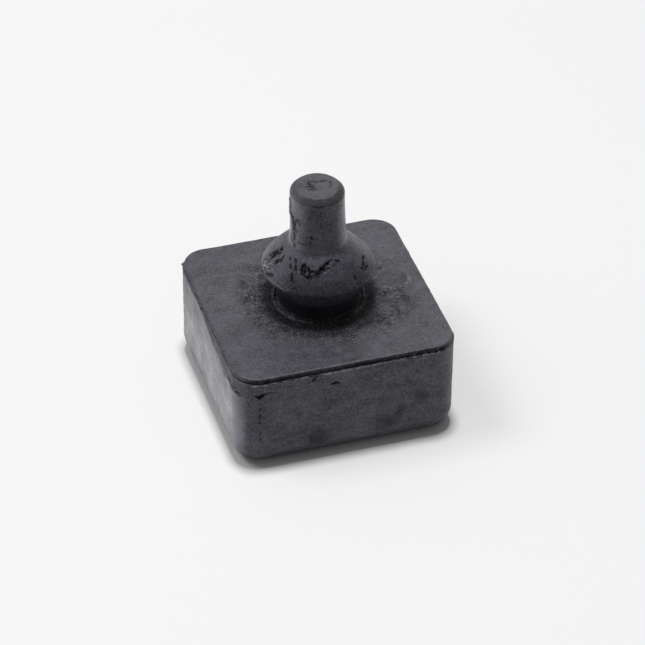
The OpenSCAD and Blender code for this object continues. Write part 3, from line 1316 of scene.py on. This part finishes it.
class NodeKit:
    """Short ways to add and join the nodes of one material."""

    def __init__(self, name: str) -> None:
        """Make an empty node material.

        Args:
            name: name of the material.
        """
        self.material = bpy.data.materials.new(name)
        self.material.use_nodes = True
        self.tree = self.material.node_tree
        self.tree.nodes.clear()
        self.surface = self.add("ShaderNodeBsdfPrincipled")
        output = self.add("ShaderNodeOutputMaterial")
        self.join(self.surface.outputs["BSDF"], output.inputs["Surface"])
        self.place = self.add("ShaderNodeTexCoord").outputs["Object"]

    def add(self, kind: str, **settings: object) -> bpy.types.Node:
        """Add a node.

        Args:
            kind: Blender's name of the node type.
            settings: properties to set on it.

        Returns:
            The new node.
        """
        node = self.tree.nodes.new(kind)
        for key, value in settings.items():
            setattr(node, key, value)
        return node

    def join(self, source: bpy.types.NodeSocket, target: bpy.types.NodeSocket) -> None:
        """Link two sockets."""
        self.tree.links.new(source, target)

    def noise(
        self,
        grain_mm: float,
        detail: float = 2.0,
        rough: float = 0.5,
        stretch: tuple[float, float, float] = (1, 1, 1),
    ) -> bpy.types.NodeSocket:
        """Add a noise that is measured on the object.

        Args:
            grain_mm: size of its lumps, in millimetres.
            detail: number of finer layers.
            rough: strength of those layers.
            stretch: how much longer the lumps are along each axis.

        Returns:
            The socket that gives the noise, from 0 to 1.
        """
        mapping = self.add("ShaderNodeMapping")
        mapping.inputs["Scale"].default_value = [1.0 / (grain_mm * MM * s) for s in stretch]
        self.join(self.place, mapping.inputs["Vector"])
        node = self.add("ShaderNodeTexNoise")
        node.inputs["Scale"].default_value = 1.0
        node.inputs["Detail"].default_value = detail
        node.inputs["Roughness"].default_value = rough
        self.join(mapping.outputs["Vector"], node.inputs["Vector"])
        return node.outputs["Fac"]

    def mask(self, name: str, share: float = 1.0) -> bpy.types.NodeSocket:
        """Read one of the mesh's own masks.

        Args:
            name: name of the mask.
            share: number that it is multiplied by.

        Returns:
            The socket that gives the mask.
        """
        socket = self.add("ShaderNodeAttribute", attribute_name=name).outputs["Fac"]
        return socket if share == 1.0 else self.math("MULTIPLY", socket, share)

    def ramp(
        self,
        value: bpy.types.NodeSocket,
        low: float,
        high: float,
        out_low: float = 0.0,
        out_high: float = 1.0,
    ) -> bpy.types.NodeSocket:
        """Map one range of numbers on another, smoothly and without overshoot.

        Args:
            value: socket that gives the numbers.
            low: number that becomes out_low.
            high: number that becomes out_high.
            out_low: first result.
            out_high: last result.

        Returns:
            The socket that gives the mapped numbers.
        """
        node = self.add("ShaderNodeMapRange", interpolation_type="SMOOTHSTEP")
        ends = {"From Min": low, "From Max": high, "To Min": out_low, "To Max": out_high}
        for key, number in ends.items():
            node.inputs[key].default_value = number
        self.join(value, node.inputs["Value"])
        return node.outputs["Result"]

    def math(self, operation: str, first: object, second: object) -> bpy.types.NodeSocket:
        """Combine two numbers, each a socket or a plain number.

        Args:
            operation: Blender's name of the operation.
            first: the first number.
            second: the second number.

        Returns:
            The socket that gives the result.
        """
        node = self.add("ShaderNodeMath", operation=operation)
        for socket, value in zip(node.inputs, (first, second)):
            if isinstance(value, (int, float)):
                socket.default_value = value
            else:
                self.join(value, socket)
        return node.outputs["Value"]

    def blend(self, share: bpy.types.NodeSocket, first: object, second: object) -> bpy.types.NodeSocket:
        """Mix two colours, each a socket or a plain colour.

        Args:
            share: socket that gives the share of the second colour.
            first: the first colour.
            second: the second colour.

        Returns:
            The socket that gives the mixed colour.
        """
        node = self.add("ShaderNodeMix", data_type="RGBA")
        self.join(share, node.inputs["Factor"])
        for socket, value in zip(node.inputs[6:8], (first, second)):
            if isinstance(value, tuple):
                socket.default_value = (*value, 1.0)
            else:
                self.join(value, socket)
        return node.outputs[2]


@dataclass(frozen=True)
class MouldedRubber:
    """The black rubber, with its clouds, its chalky bloomed grey, the painted light, shade and highlights
    on it, and the crumbs in its skin.

    Attributes:
        dark: colour where the rubber is clean.
        light: colour where it has bloomed.
        black: colour inside the scars and of the painted shade.
        chalk_and_highlight: colour of the pale crumbs and of the painted highlights.
        dust: colour of the brown dust.
        grey: colour of the bloomed rubber and of the painted light on what faces up.
        rough: usual roughness.
        ior: strength of the sheen, as an index of refraction.
        tint: colour of the sheen.
        polish_rough: roughness of the polish on what is slick.
    """

    dark: tuple[float, float, float] = (0.008, 0.0076, 0.012)
    light: tuple[float, float, float] = (0.045, 0.0435, 0.053)
    black: tuple[float, float, float] = (0.005, 0.005, 0.006)
    chalk_and_highlight: tuple[float, float, float] = (0.17, 0.168, 0.178)
    dust: tuple[float, float, float] = (0.049, 0.0455, 0.044)
    grey: tuple[float, float, float] = (0.102, 0.1, 0.11)
    rough: float = 0.46
    ior: float = 1.56
    tint: tuple[float, float, float] = (0.86, 0.86, 1.0)
    polish_rough: float = 0.25

    def build(self) -> bpy.types.Material:
        """Build the material.

        Returns:
            The material.
        """
        kit = NodeKit("moulded_black_rubber")
        # black carries the painted shade and smudges of the shade mask, with the crumbs' darkness.
        black = kit.math("MAXIMUM", kit.mask("shade"), kit.mask("grit", 0.8))
        torn = self.torn(kit)
        surface = kit.surface.inputs
        kit.join(self.colour(kit, black, torn), surface["Base Color"])
        kit.join(self.roughness(kit, black, torn), surface["Roughness"])
        kit.join(self.gloss(kit, black, torn), surface["Specular IOR Level"])
        kit.join(self.polish(kit), surface["Coat Weight"])
        kit.join(self.grain(kit), surface["Normal"])
        surface["Coat Roughness"].default_value = self.polish_rough
        surface["IOR"].default_value = self.ior
        surface["Specular Tint"].default_value = (*self.tint, 1.0)
        return kit.material

    @staticmethod
    def torn(kit: NodeKit) -> bpy.types.NodeSocket:
        """Find how black the scars are inside, with the painted shade in hollows and in the seam's slit,
        and a ragged edge.

        Args:
            kit: the material's nodes.

        Returns:
            The socket that gives it, from 0 to 1.
        """
        frayed = kit.ramp(kit.noise(0.2, 3.0, 0.7), 0.32, 0.68, -0.5, 0.35)
        ragged = kit.math("ADD", kit.mask("soot_and_shade"), frayed)
        faint = kit.ramp(kit.mask("soot_and_shade"), 0.25, 1.0, 0.0, 0.5)
        return kit.math("MAXIMUM", kit.ramp(ragged, 0.5, 0.85, 0.0, 0.9), faint)

    def colour(
        self, kit: NodeKit, black: bpy.types.NodeSocket, torn: bpy.types.NodeSocket
    ) -> bpy.types.NodeSocket:
        """Lay the clouds, the bloomed grey with painted light, the dust, the painted shade and other black
        places, the crumbs with painted highlights, and the scars.

        Args:
            kit: the material's nodes.
            black: socket that says how black the rubber is painted, painted shade among it.
            torn: socket that says how black the scars are, with painted shade in their hollows.

        Returns:
            The socket that gives the colour.
        """
        clouds = kit.ramp(kit.noise(3.2, 4.0, 0.6), 0.3, 0.7)
        patch = kit.ramp(kit.noise(0.8, 3.0, 0.65), 0.32, 0.68)
        grain = kit.ramp(kit.noise(0.13, 3.0, 0.75), 0.36, 0.64)
        broad = kit.math("ADD", kit.math("MULTIPLY", clouds, 0.3), kit.math("MULTIPLY", patch, 0.25))
        mixed = kit.math("ADD", broad, kit.math("MULTIPLY", grain, 0.45))
        colour = kit.blend(mixed, self.dark, self.light)
        # Bloomed grey with painted light on what faces up.
        bloom_and_painted_light = kit.math("MULTIPLY", kit.mask("bloom_and_painted_light"), kit.ramp(grain, 0.0, 1.0, 0.25, 0.6))
        colour = kit.blend(bloom_and_painted_light, colour, self.grey)
        colour = kit.blend(kit.mask("dun", 0.85), colour, self.dust)
        colour = kit.blend(black, colour, self.black)
        # Pale crumbs and flecks, with the painted highlights on the flash ledge and the ring.
        colour = kit.blend(kit.math("MAXIMUM", self.flecks(kit), kit.mask("pale")), colour, self.chalk_and_highlight)
        return kit.blend(torn, colour, self.black)

    @staticmethod
    def flecks(kit: NodeKit) -> bpy.types.NodeSocket:
        """Scatter pale flecks, most where the crumbs lie and fewest where shade is painted.

        Args:
            kit: the material's nodes.

        Returns:
            The socket that says how pale they are, from 0 to 1.
        """
        spots = kit.math("ADD", kit.noise(0.24, 3.0, 0.8), kit.mask("grit", 0.06))
        thick = kit.ramp(kit.mask("grit"), 0.0, 0.4, 0.26, 1.0)
        spots = kit.math("MULTIPLY", kit.ramp(spots, 0.54, 0.76), thick)
        return kit.math("MULTIPLY", spots, kit.ramp(kit.mask("shade"), 0.1, 0.9, 1.0, 0.45))

    def roughness(
        self, kit: NodeKit, black: bpy.types.NodeSocket, torn: bpy.types.NodeSocket
    ) -> bpy.types.NodeSocket:
        """Make the rubber rougher where it is black, torn or dusty, and smoother where it is slick.

        Args:
            kit: the material's nodes.
            black: socket that says how black the rubber is painted, painted shade among it.
            torn: socket that says how black the scars are, with painted shade in their hollows.

        Returns:
            The socket that gives the roughness.
        """
        rough = kit.ramp(kit.noise(1.6, 3.0, 0.6), 0.25, 0.75, self.rough - 0.09, self.rough + 0.09)
        rough = kit.math("ADD", rough, kit.math("MULTIPLY", kit.math("MAXIMUM", torn, black), 0.25))
        rough = kit.math("ADD", rough, kit.mask("slick", -0.18))
        return kit.math("ADD", rough, kit.mask("dun", 0.3))

    @staticmethod
    def gloss(
        kit: NodeKit, black: bpy.types.NodeSocket, torn: bpy.types.NodeSocket
    ) -> bpy.types.NodeSocket:
        """Break up the sheen, and dull it in the painted shade and where the rubber is black, torn or
        dusty.

        Args:
            kit: the material's nodes.
            black: socket that says how black the rubber is painted, painted shade among it.
            torn: socket that says how black the scars are, with painted shade in their hollows.

        Returns:
            The socket that gives the strength of the sheen.
        """
        fine = kit.ramp(kit.noise(0.24, 4.0, 0.85), 0.36, 0.64, 0.24, 0.64)
        broad = kit.ramp(kit.noise(1.3, 4.0, 0.75, (1.6, 1, 1)), 0.3, 0.7, -0.15, 0.15)
        gloss = kit.math("ADD", fine, broad)
        dull = kit.math("MAXIMUM", kit.math("MULTIPLY", torn, 0.85), kit.math("MULTIPLY", black, 0.75))
        dull = kit.math("MAXIMUM", dull, kit.mask("dun", 0.6))
        gloss = kit.math("MULTIPLY", gloss, kit.math("SUBTRACT", 1.0, dull))
        return kit.math("ADD", gloss, kit.mask("slick", 0.9))

    @staticmethod
    def polish(kit: NodeKit) -> bpy.types.NodeSocket:
        """Lay a patchy polish on what is slick.

        Args:
            kit: the material's nodes.

        Returns:
            The socket that gives its strength.
        """
        patches = kit.ramp(kit.noise(2.2, 4.0, 0.75, (1, 1.4, 2.2)), 0.3, 0.7, 0.0, 0.55)
        return kit.math("MULTIPLY", kit.mask("slick"), patches)

    @staticmethod
    def grain(kit: NodeKit) -> bpy.types.NodeSocket:
        """Raise the finest grain.

        Args:
            kit: the material's nodes.

        Returns:
            The socket that gives the bumped normal.
        """
        bump = kit.add("ShaderNodeBump")
        bump.inputs["Strength"].default_value = 0.8
        bump.inputs["Distance"].default_value = 0.03 * MM
        height = kit.math("ADD", kit.noise(0.11, 3.0, 0.6), kit.math("MULTIPLY", kit.noise(0.5, 2.0), 1.2))
        kit.join(height, bump.inputs["Height"])
        return bump.outputs["Normal"]


@dataclass(frozen=True)
class CrumbRubber:
    """The loose crumbs, each with a tone of its own, darker near the stem as painted shade.

    Attributes:
        dark: colour of the blackest crumb.
        pale: colour of the palest crumb.
        rough: roughness of them all.
    """

    dark: tuple[float, float, float] = (0.012, 0.012, 0.014)
    pale: tuple[float, float, float] = (0.42, 0.42, 0.43)
    rough: float = 0.6

    def build(self) -> bpy.types.Material:
        """Build the material.

        Returns:
            The material.
        """
        kit = NodeKit("rubber_crumb")
        mottle = kit.ramp(kit.noise(0.03, 1.0), 0.3, 0.7, 0.7, 1.0)
        share = kit.math("MULTIPLY", kit.mask("tone"), mottle)
        kit.join(kit.blend(share, self.dark, self.pale), kit.surface.inputs["Base Color"])
        kit.surface.inputs["Roughness"].default_value = self.rough
        return kit.material


@dataclass(frozen=True)
class PaleFloor:
    """The plain matt floor.

    Attributes:
        colour: its colour.
    """

    colour: tuple[float, float, float] = (0.905, 0.905, 0.91)

    def build(self) -> bpy.types.Material:
        """Build the material.

        Returns:
            The material.
        """
        kit = NodeKit("pale_floor")
        kit.surface.inputs["Base Color"].default_value = (*self.colour, 1.0)
        kit.surface.inputs["Roughness"].default_value = 1.0
        kit.surface.inputs["Specular IOR Level"].default_value = 0.0
        return kit.material


# ---------------------------------------------------------------- the pieces


def new_piece(name: str, points: np.ndarray, faces: list, finish: bpy.types.Material) -> bpy.types.Object:
    """Make a smooth mesh object from points in millimetres.

    Args:
        name: name of the object.
        points: its vertices, one row each.
        faces: its faces, as the numbers of their corners.
        finish: its material.

    Returns:
        The new object.
    """
    mesh = bpy.data.meshes.new(name)
    mesh.from_pydata((points * MM).tolist(), [], faces)
    mesh.polygons.foreach_set("use_smooth", [True] * len(mesh.polygons))
    mesh.materials.append(finish)
    mesh.update()
    piece = bpy.data.objects.new(name, mesh)
    bpy.context.scene.collection.objects.link(piece)
    return piece


def vertex_normals(piece: bpy.types.Object) -> np.ndarray:
    """Read a mesh object's vertex normals.

    Args:
        piece: the mesh object.

    Returns:
        The normals, one row each.
    """
    normals = np.zeros(len(piece.data.vertices) * 3)
    piece.data.vertex_normals.foreach_get("vector", normals)
    return normals.reshape(-1, 3)


@dataclass
class Buffer:
    """The whole moulding, from its underside to the tip of its pull tail.

    Attributes:
        block: the block's sizes.
        stem: the stem's sizes.
        apron: the torn flash round the front left corner.
        finish: the rubber's look.
    """

    block: BlockForm
    stem: StemForm
    apron: Apron
    finish: MouldedRubber

    def build(self) -> bpy.types.Object:
        """Sweep the skin, raise its relief and dress it.

        Returns:
            The finished piece.
        """
        skin = Skin(self.block, self.stem)
        points = skin.vertices()
        piece = new_piece("buffer_skin", points, skin.faces(), self.finish.build())
        normals = vertex_normals(piece)
        relief = Relief(skin, self.block, self.stem)
        lift, soot_and_shade = relief.scars(points)
        torn, graze_soot_and_shade, pale = relief.grazes(points)
        grit = relief.grit(points)
        lift += torn + relief.waves(points, normals) * smooth(0.02, 0.8, points[:, 2])
        lift += relief.ring_breaks(points)
        lift += relief.speckle * grit * np.clip(wobble(points, 0.2, 41.0), -0.4, 1.0)
        sides = self.apron.relief(skin.along_each(), points[:, 2], self.block.parting_z)
        level = normals * np.array([1.0, 1.0, 0.0])
        moved = self.kept_in_box(points + normals * lift[:, None] + level * sides[:, None])
        piece.data.vertices.foreach_set("co", (moved * MM).ravel())
        piece.data.update()
        # The slit's darkness is painted shade, and the ledge's paleness is a painted highlight.
        slit, ledge = skin.seam_masks()
        soot_and_shade = np.maximum.reduce([soot_and_shade, graze_soot_and_shade, relief.tip_line(points), slit])
        # The ring's paleness is a painted highlight. The ring mark's broken rim is pale crumbs.
        ring, disc = 0.5 * relief.ring_painted_highlight(points), 0.7 * relief.disc_rim(points)
        pale = np.maximum.reduce([pale, ledge, ring, disc])
        apron = self.apron.cover(skin.along_each(), points[:, 2], self.block.parting_z)
        slick = relief.slick(points, normals, apron)
        shade, dun, bloom_and_painted_light = relief.shade(points), relief.dun(points), relief.bloom_and_painted_light(points, normals)
        Masks(soot_and_shade, grit, shade, dun, pale, slick, bloom_and_painted_light).write(piece.data)
        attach(piece, BODY)
        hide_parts(NODE)
        return piece

    def kept_in_box(self, points: np.ndarray) -> np.ndarray:
        """Hold every place within the solid's own box.

        Args:
            points: places, one row each.

        Returns:
            The places, none outside the box.
        """
        low, high = (np.array(corner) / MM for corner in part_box(NODE))
        return np.clip(points, low, high)


@dataclass
class Crumbs:
    """Loose crumbs of rubber and chalk that lie on the seating face round the stem.

    Attributes:
        block: the block's sizes.
        finish: the crumbs' look.
        count: number of crumbs.
        seed: seed of their scatter.
        sizes: half widths that they come in, in millimetres.
        tones: tones that they come in, from black to pale.
    """

    block: BlockForm
    finish: CrumbRubber
    count: int = 3400
    seed: int = 5
    sizes: tuple[float, ...] = (0.03, 0.035, 0.04, 0.05, 0.065)
    tones: tuple[float, ...] = (0.02, 0.04, 0.07, 0.1, 0.15, 0.22, 0.35, 0.75)

    def spots(self, skin: bpy.types.Object) -> list[tuple[Vector, Vector]]:
        """Pick where the crumbs lie, thickest where the skin's dust is.

        Args:
            skin: the moulding that they lie on.

        Returns:
            The place and the surface normal of each crumb, in metres.
        """
        mesh = skin.data
        count = len(mesh.polygons)
        centre, normal, area = np.zeros(count * 3), np.zeros(count * 3), np.zeros(count)
        mesh.polygons.foreach_get("center", centre)
        mesh.polygons.foreach_get("normal", normal)
        mesh.polygons.foreach_get("area", area)
        centre, normal = centre.reshape(-1, 3), normal.reshape(-1, 3)
        spots_mm = centre / MM
        first, corner = np.zeros(count, np.int32), np.zeros(len(mesh.loops), np.int32)
        mesh.polygons.foreach_get("loop_start", first)
        mesh.loops.foreach_get("vertex_index", corner)
        grit = np.zeros(len(mesh.vertices), np.float32)
        mesh.attributes["grit"].data.foreach_get("value", grit)
        thick = grit[corner[first]]
        flat = (normal[:, 2] > 0.8) * (np.abs(spots_mm[:, 2] - self.block.height) < 0.3)
        weight = area * flat * (thick + 0.02)
        pick = np.random.default_rng(self.seed).choice(count, self.count, p=weight / weight.sum())
        return [(Vector(centre[k]), Vector(normal[k])) for k in pick]

    def build(self, skin: bpy.types.Object) -> bpy.types.Object:
        """Lay the crumbs on the skin.

        Args:
            skin: the moulding that they lie on.

        Returns:
            The finished piece.
        """
        rng = random.Random(self.seed)
        ball = bmesh.new()
        bmesh.ops.create_icosphere(ball, subdivisions=1, radius=1.0)
        corners = [v.co.copy() for v in ball.verts]
        sides = [tuple(v.index for v in f.verts) for f in ball.faces]
        ball.free()
        points, faces, tones = [], [], []
        for place, normal in self.spots(skin):
            size = rng.choice(self.sizes) * rng.uniform(0.8, 1.2)
            spin = Matrix.Rotation(rng.uniform(0, 6.28), 3, "Z")
            turn = normal.to_track_quat("Z", "Y").to_matrix() @ spin
            stretch = Vector((rng.uniform(0.7, 1.5), rng.uniform(0.6, 1.0), rng.uniform(0.4, 0.8)))
            slide = turn @ Vector((rng.uniform(-0.08, 0.08), rng.uniform(-0.08, 0.08), 0.15 * size))
            start = len(points)
            tone = rng.choice(self.tones) * rng.uniform(0.6, 1.0)
            # Crumbs near the stem are darker: painted shade under the bulb.
            tone *= 0.35 + 0.65 * min(max((math.hypot(place.x, place.y) / MM - 5.4) / 2.0, 0.0), 1.0)
            for corner in corners:
                jag = corner * rng.uniform(0.75, 1.15) * size
                points.append(place / MM + slide + turn @ Vector(a * b for a, b in zip(jag, stretch)))
                tones.append(tone)
            faces += [tuple(start + k for k in side) for side in sides]
        piece = new_piece("loose_crumbs", np.array(points), faces, self.finish.build())
        layer = piece.data.attributes.new("tone", "FLOAT", "POINT")
        layer.data.foreach_set("value", np.array(tones, np.float32))
        piece.data.polygons.foreach_set("use_smooth", [False] * len(faces))
        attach(piece, BODY)
        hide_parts(NODE)
        return piece


# ---------------------------------------------------------------- the studio


@dataclass(frozen=True)
class Camera:
    """Where the camera stands and how its picture is framed.

    Attributes:
        azimuth: its bearing, in degrees, from straight in front.
        elevation: its height above the horizon, in degrees.
        roll: its turn about its own axis, in degrees.
        distance: from the picture's plane through the seating face's middle, in millimetres.
        focal_px: focal length, in pixels of the square picture.
        frame_px: size of the square picture.
        aim_px: pixel on which the seating face's middle falls.
    """

    azimuth: float = -17.781
    elevation: float = 37.98
    roll: float = 0.652
    distance: float = 373.84
    focal_px: float = 3410.25
    frame_px: float = 645.0
    aim_px: tuple[float, float] = (316.617, 297.029)

    def build(self, aim: Vector) -> bpy.types.Object:
        """Place the camera.

        Args:
            aim: middle of the seating face, in millimetres.

        Returns:
            The camera.
        """
        a, e, r = (math.radians(v) for v in (self.azimuth, self.elevation, self.roll))
        back = Vector((math.sin(a) * math.cos(e), -math.cos(a) * math.cos(e), math.sin(e)))
        level = Vector((math.cos(a), math.sin(a), 0.0))
        rise = back.cross(level)
        right = level * math.cos(r) + rise * math.sin(r)
        up = rise * math.cos(r) - level * math.sin(r)
        scale = self.distance / self.focal_px
        x = (self.aim_px[0] - self.frame_px / 2) * scale
        y = -(self.aim_px[1] - self.frame_px / 2) * scale
        data = bpy.data.cameras.new("camera")
        data.sensor_width = data.sensor_height = 36.0
        data.sensor_fit = "HORIZONTAL"
        data.lens = self.focal_px / self.frame_px * data.sensor_width
        data.clip_start = 0.01
        data.clip_end = 20.0
        camera = bpy.data.objects.new("camera", data)
        place = Matrix((right, up, back)).transposed().to_4x4()
        place.translation = (aim - x * right - y * up + self.distance * back) * MM
        camera.matrix_world = place
        bpy.context.scene.collection.objects.link(camera)
        bpy.context.scene.camera = camera
        return camera


@dataclass(frozen=True)
class SoftLamp:
    """An oval soft lamp that faces the part.

    Attributes:
        name: its name.
        lean: its angle from straight up, in degrees.
        bearing: the side it leans to, in degrees: 0 is the back and 90 the left.
        spread: its half width and half depth seen from the part, in degrees.
        power: its power, in watts.
        distance: its distance, in metres.
    """

    name: str
    lean: float
    bearing: float
    spread: tuple[float, float]
    power: float
    distance: float = 0.8

    def build(self) -> bpy.types.Object:
        """Hang the lamp.

        Returns:
            The lamp.
        """
        lean, bearing = math.radians(self.lean), math.radians(self.bearing)
        aside = math.sin(lean)
        away = Vector((-aside * math.sin(bearing), aside * math.cos(bearing), math.cos(lean)))
        data = bpy.data.lights.new(self.name, "AREA")
        data.shape = "ELLIPSE"
        data.size = 2 * self.distance * math.tan(math.radians(self.spread[0]))
        data.size_y = 2 * self.distance * math.tan(math.radians(self.spread[1]))
        data.energy = self.power
        lamp = bpy.data.objects.new(self.name, data)
        lamp.location = away * self.distance
        lamp.rotation_euler = away.to_track_quat("Z", "Y").to_euler()
        bpy.context.scene.collection.objects.link(lamp)
        return lamp


@dataclass(frozen=True)
class Studio:
    """A pale floor in a white room, lit by a lamp above, a weaker one at the left and a weak sky.

    Attributes:
        lamps: the soft lamps.
        sky_low: the sky's brightness at its darkest.
        sky_high: its brightness at its lightest.
        sky_side: direction in which it is lightest.
        shine_low: brightness of the dark side of the room that the gloss mirrors.
        shine_side: direction of its bright side, which is as bright as the room looks.
        white: brightness of the room that the camera sees.
        floor: look of the floor.
        floor_size: half the floor's width, in metres.
    """

    lamps: tuple[SoftLamp, ...] = (
        SoftLamp("lamp_above", lean=1.2, bearing=0.0, spread=(4.5, 5.0), power=4.0),
        SoftLamp("lamp_left", lean=32.0, bearing=70.0, spread=(12.0, 12.0), power=1.3),
    )
    sky_low: float = 0.13
    sky_high: float = 0.3
    sky_side: tuple[float, float, float] = (-0.62, 0.15, 0.77)
    shine_low: float = 0.235
    shine_side: tuple[float, float, float] = (0.2, 0.9, 0.35)
    white: float = 0.91
    floor: PaleFloor = PaleFloor()
    floor_size: float = 4.0

    def build(self) -> bpy.types.Object:
        """Lay the floor, hang the lamps and light the sky.

        Returns:
            The floor.
        """
        for lamp in self.lamps:
            lamp.build()
        self.build_sky()
        s = self.floor_size / MM
        corners = np.array([(-s, -s, 0.0), (s, -s, 0.0), (s, s, 0.0), (-s, s, 0.0)])
        floor = new_piece("studio_floor", corners, [(0, 1, 2, 3)], self.floor.build())
        return floor

    def build_sky(self) -> bpy.types.World:
        """Build the world: a weak sky that lights, and the white room that is seen.

        Returns:
            The world.
        """
        world = bpy.data.worlds.new("soft_sky")
        world.use_nodes = True
        tree = world.node_tree
        tree.nodes.clear()
        place = tree.nodes.new("ShaderNodeTexCoord").outputs["Generated"]
        path = tree.nodes.new("ShaderNodeLightPath")
        light = self.glow(tree, place, self.sky_side, (0.0, 1.0), (self.sky_low, self.sky_high))
        shine = self.glow(tree, place, self.shine_side, (-0.6, 0.5), (self.shine_low, self.white))
        seen = tree.nodes.new("ShaderNodeBackground")
        seen.inputs["Color"].default_value = (1.0, 1.0, 1.0, 1.0)
        seen.inputs["Strength"].default_value = self.white
        result = light.outputs["Background"]
        layers = (("Is Glossy Ray", shine), ("Is Camera Ray", seen), ("Is Transmission Ray", seen))
        for ray, layer in layers:
            mix = tree.nodes.new("ShaderNodeMixShader")
            tree.links.new(path.outputs[ray], mix.inputs["Fac"])
            tree.links.new(result, mix.inputs[1])
            tree.links.new(layer.outputs["Background"], mix.inputs[2])
            result = mix.outputs["Shader"]
        output = tree.nodes.new("ShaderNodeOutputWorld")
        tree.links.new(result, output.inputs["Surface"])
        world.cycles.sampling_method = "NONE"
        bpy.context.scene.world = world
        return world

    @staticmethod
    def glow(
        tree: bpy.types.NodeTree,
        place: bpy.types.NodeSocket,
        side: tuple[float, float, float],
        turn: tuple[float, float],
        strength: tuple[float, float],
    ) -> bpy.types.Node:
        """Add a background that grows brighter towards one side.

        Args:
            tree: node tree of the world.
            place: socket that gives the direction looked in.
            side: direction in which it is brightest.
            turn: how nearly that way one looks where it is darkest and where brightest.
            strength: its lowest and its highest brightness.

        Returns:
            The background node.
        """
        dot = tree.nodes.new("ShaderNodeVectorMath")
        dot.operation = "DOT_PRODUCT"
        dot.inputs[1].default_value = side
        tree.links.new(place, dot.inputs[0])
        ramp = tree.nodes.new("ShaderNodeMapRange")
        ramp.interpolation_type = "SMOOTHSTEP"
        for key, number in zip(("From Min", "From Max", "To Min", "To Max"), turn + strength):
            ramp.inputs[key].default_value = number
        tree.links.new(dot.outputs["Value"], ramp.inputs["Value"])
        glow = tree.nodes.new("ShaderNodeBackground")
        glow.inputs["Color"].default_value = (1.0, 1.0, 1.0, 1.0)
        tree.links.new(ramp.outputs["Result"], glow.inputs["Strength"])
        return glow


# ---------------------------------------------------------------- the build


def report(piece: bpy.types.Object) -> None:
    """Log one piece with its size and its number of triangles.

    Args:
        piece: the piece.
    """
    triangles = sum(len(face.vertices) - 2 for face in piece.data.polygons)
    size = tuple(round(side / MM, 2) for side in piece.dimensions)
    log.info("%s: %s mm, %d triangles", piece.name, size, triangles)


def sized_from_frame() -> tuple[BlockForm, StemForm]:
    """Work out the block's and the stem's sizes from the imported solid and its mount.

    Returns:
        The block's sizes and the stem's sizes.
    """
    low, high = (np.array(corner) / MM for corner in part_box(NODE))
    mounts = {mount["name"]: mount for mount in frame["record"]["mounts"]}
    groove = mounts["plate_groove"]
    seat = groove["pos_m"][2] / MM
    flash_reach = 0.1
    block = BlockForm(
        width=high[0] - low[0] - 2 * flash_reach,
        depth=high[1] - low[1] - 2 * flash_reach,
        height=seat,
    )
    neck_r, neck_h = groove["dims"]["r_mm"], groove["dims"]["length_mm"]
    stem = StemForm(neck_r=neck_r, neck_h=neck_h, base_z=seat, tip_z=high[2] - seat)
    return block, stem


def main() -> None:
    """Build the buffer, its crumbs and the studio, and note the sizes."""
    logging.basicConfig(level=logging.INFO, format="%(name)s: %(message)s")
    bpy.context.scene.view_settings.view_transform = "Standard"
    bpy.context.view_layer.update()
    block, stem = sized_from_frame()
    skin = Buffer(block, stem, Apron(), MouldedRubber()).build()
    report(skin)
    report(Crumbs(block, CrumbRubber()).build(skin))
    report(Studio().build())
    Camera().build(Vector((0.0, 0.0, block.height)))


if __name__ == "__main__":
    main()
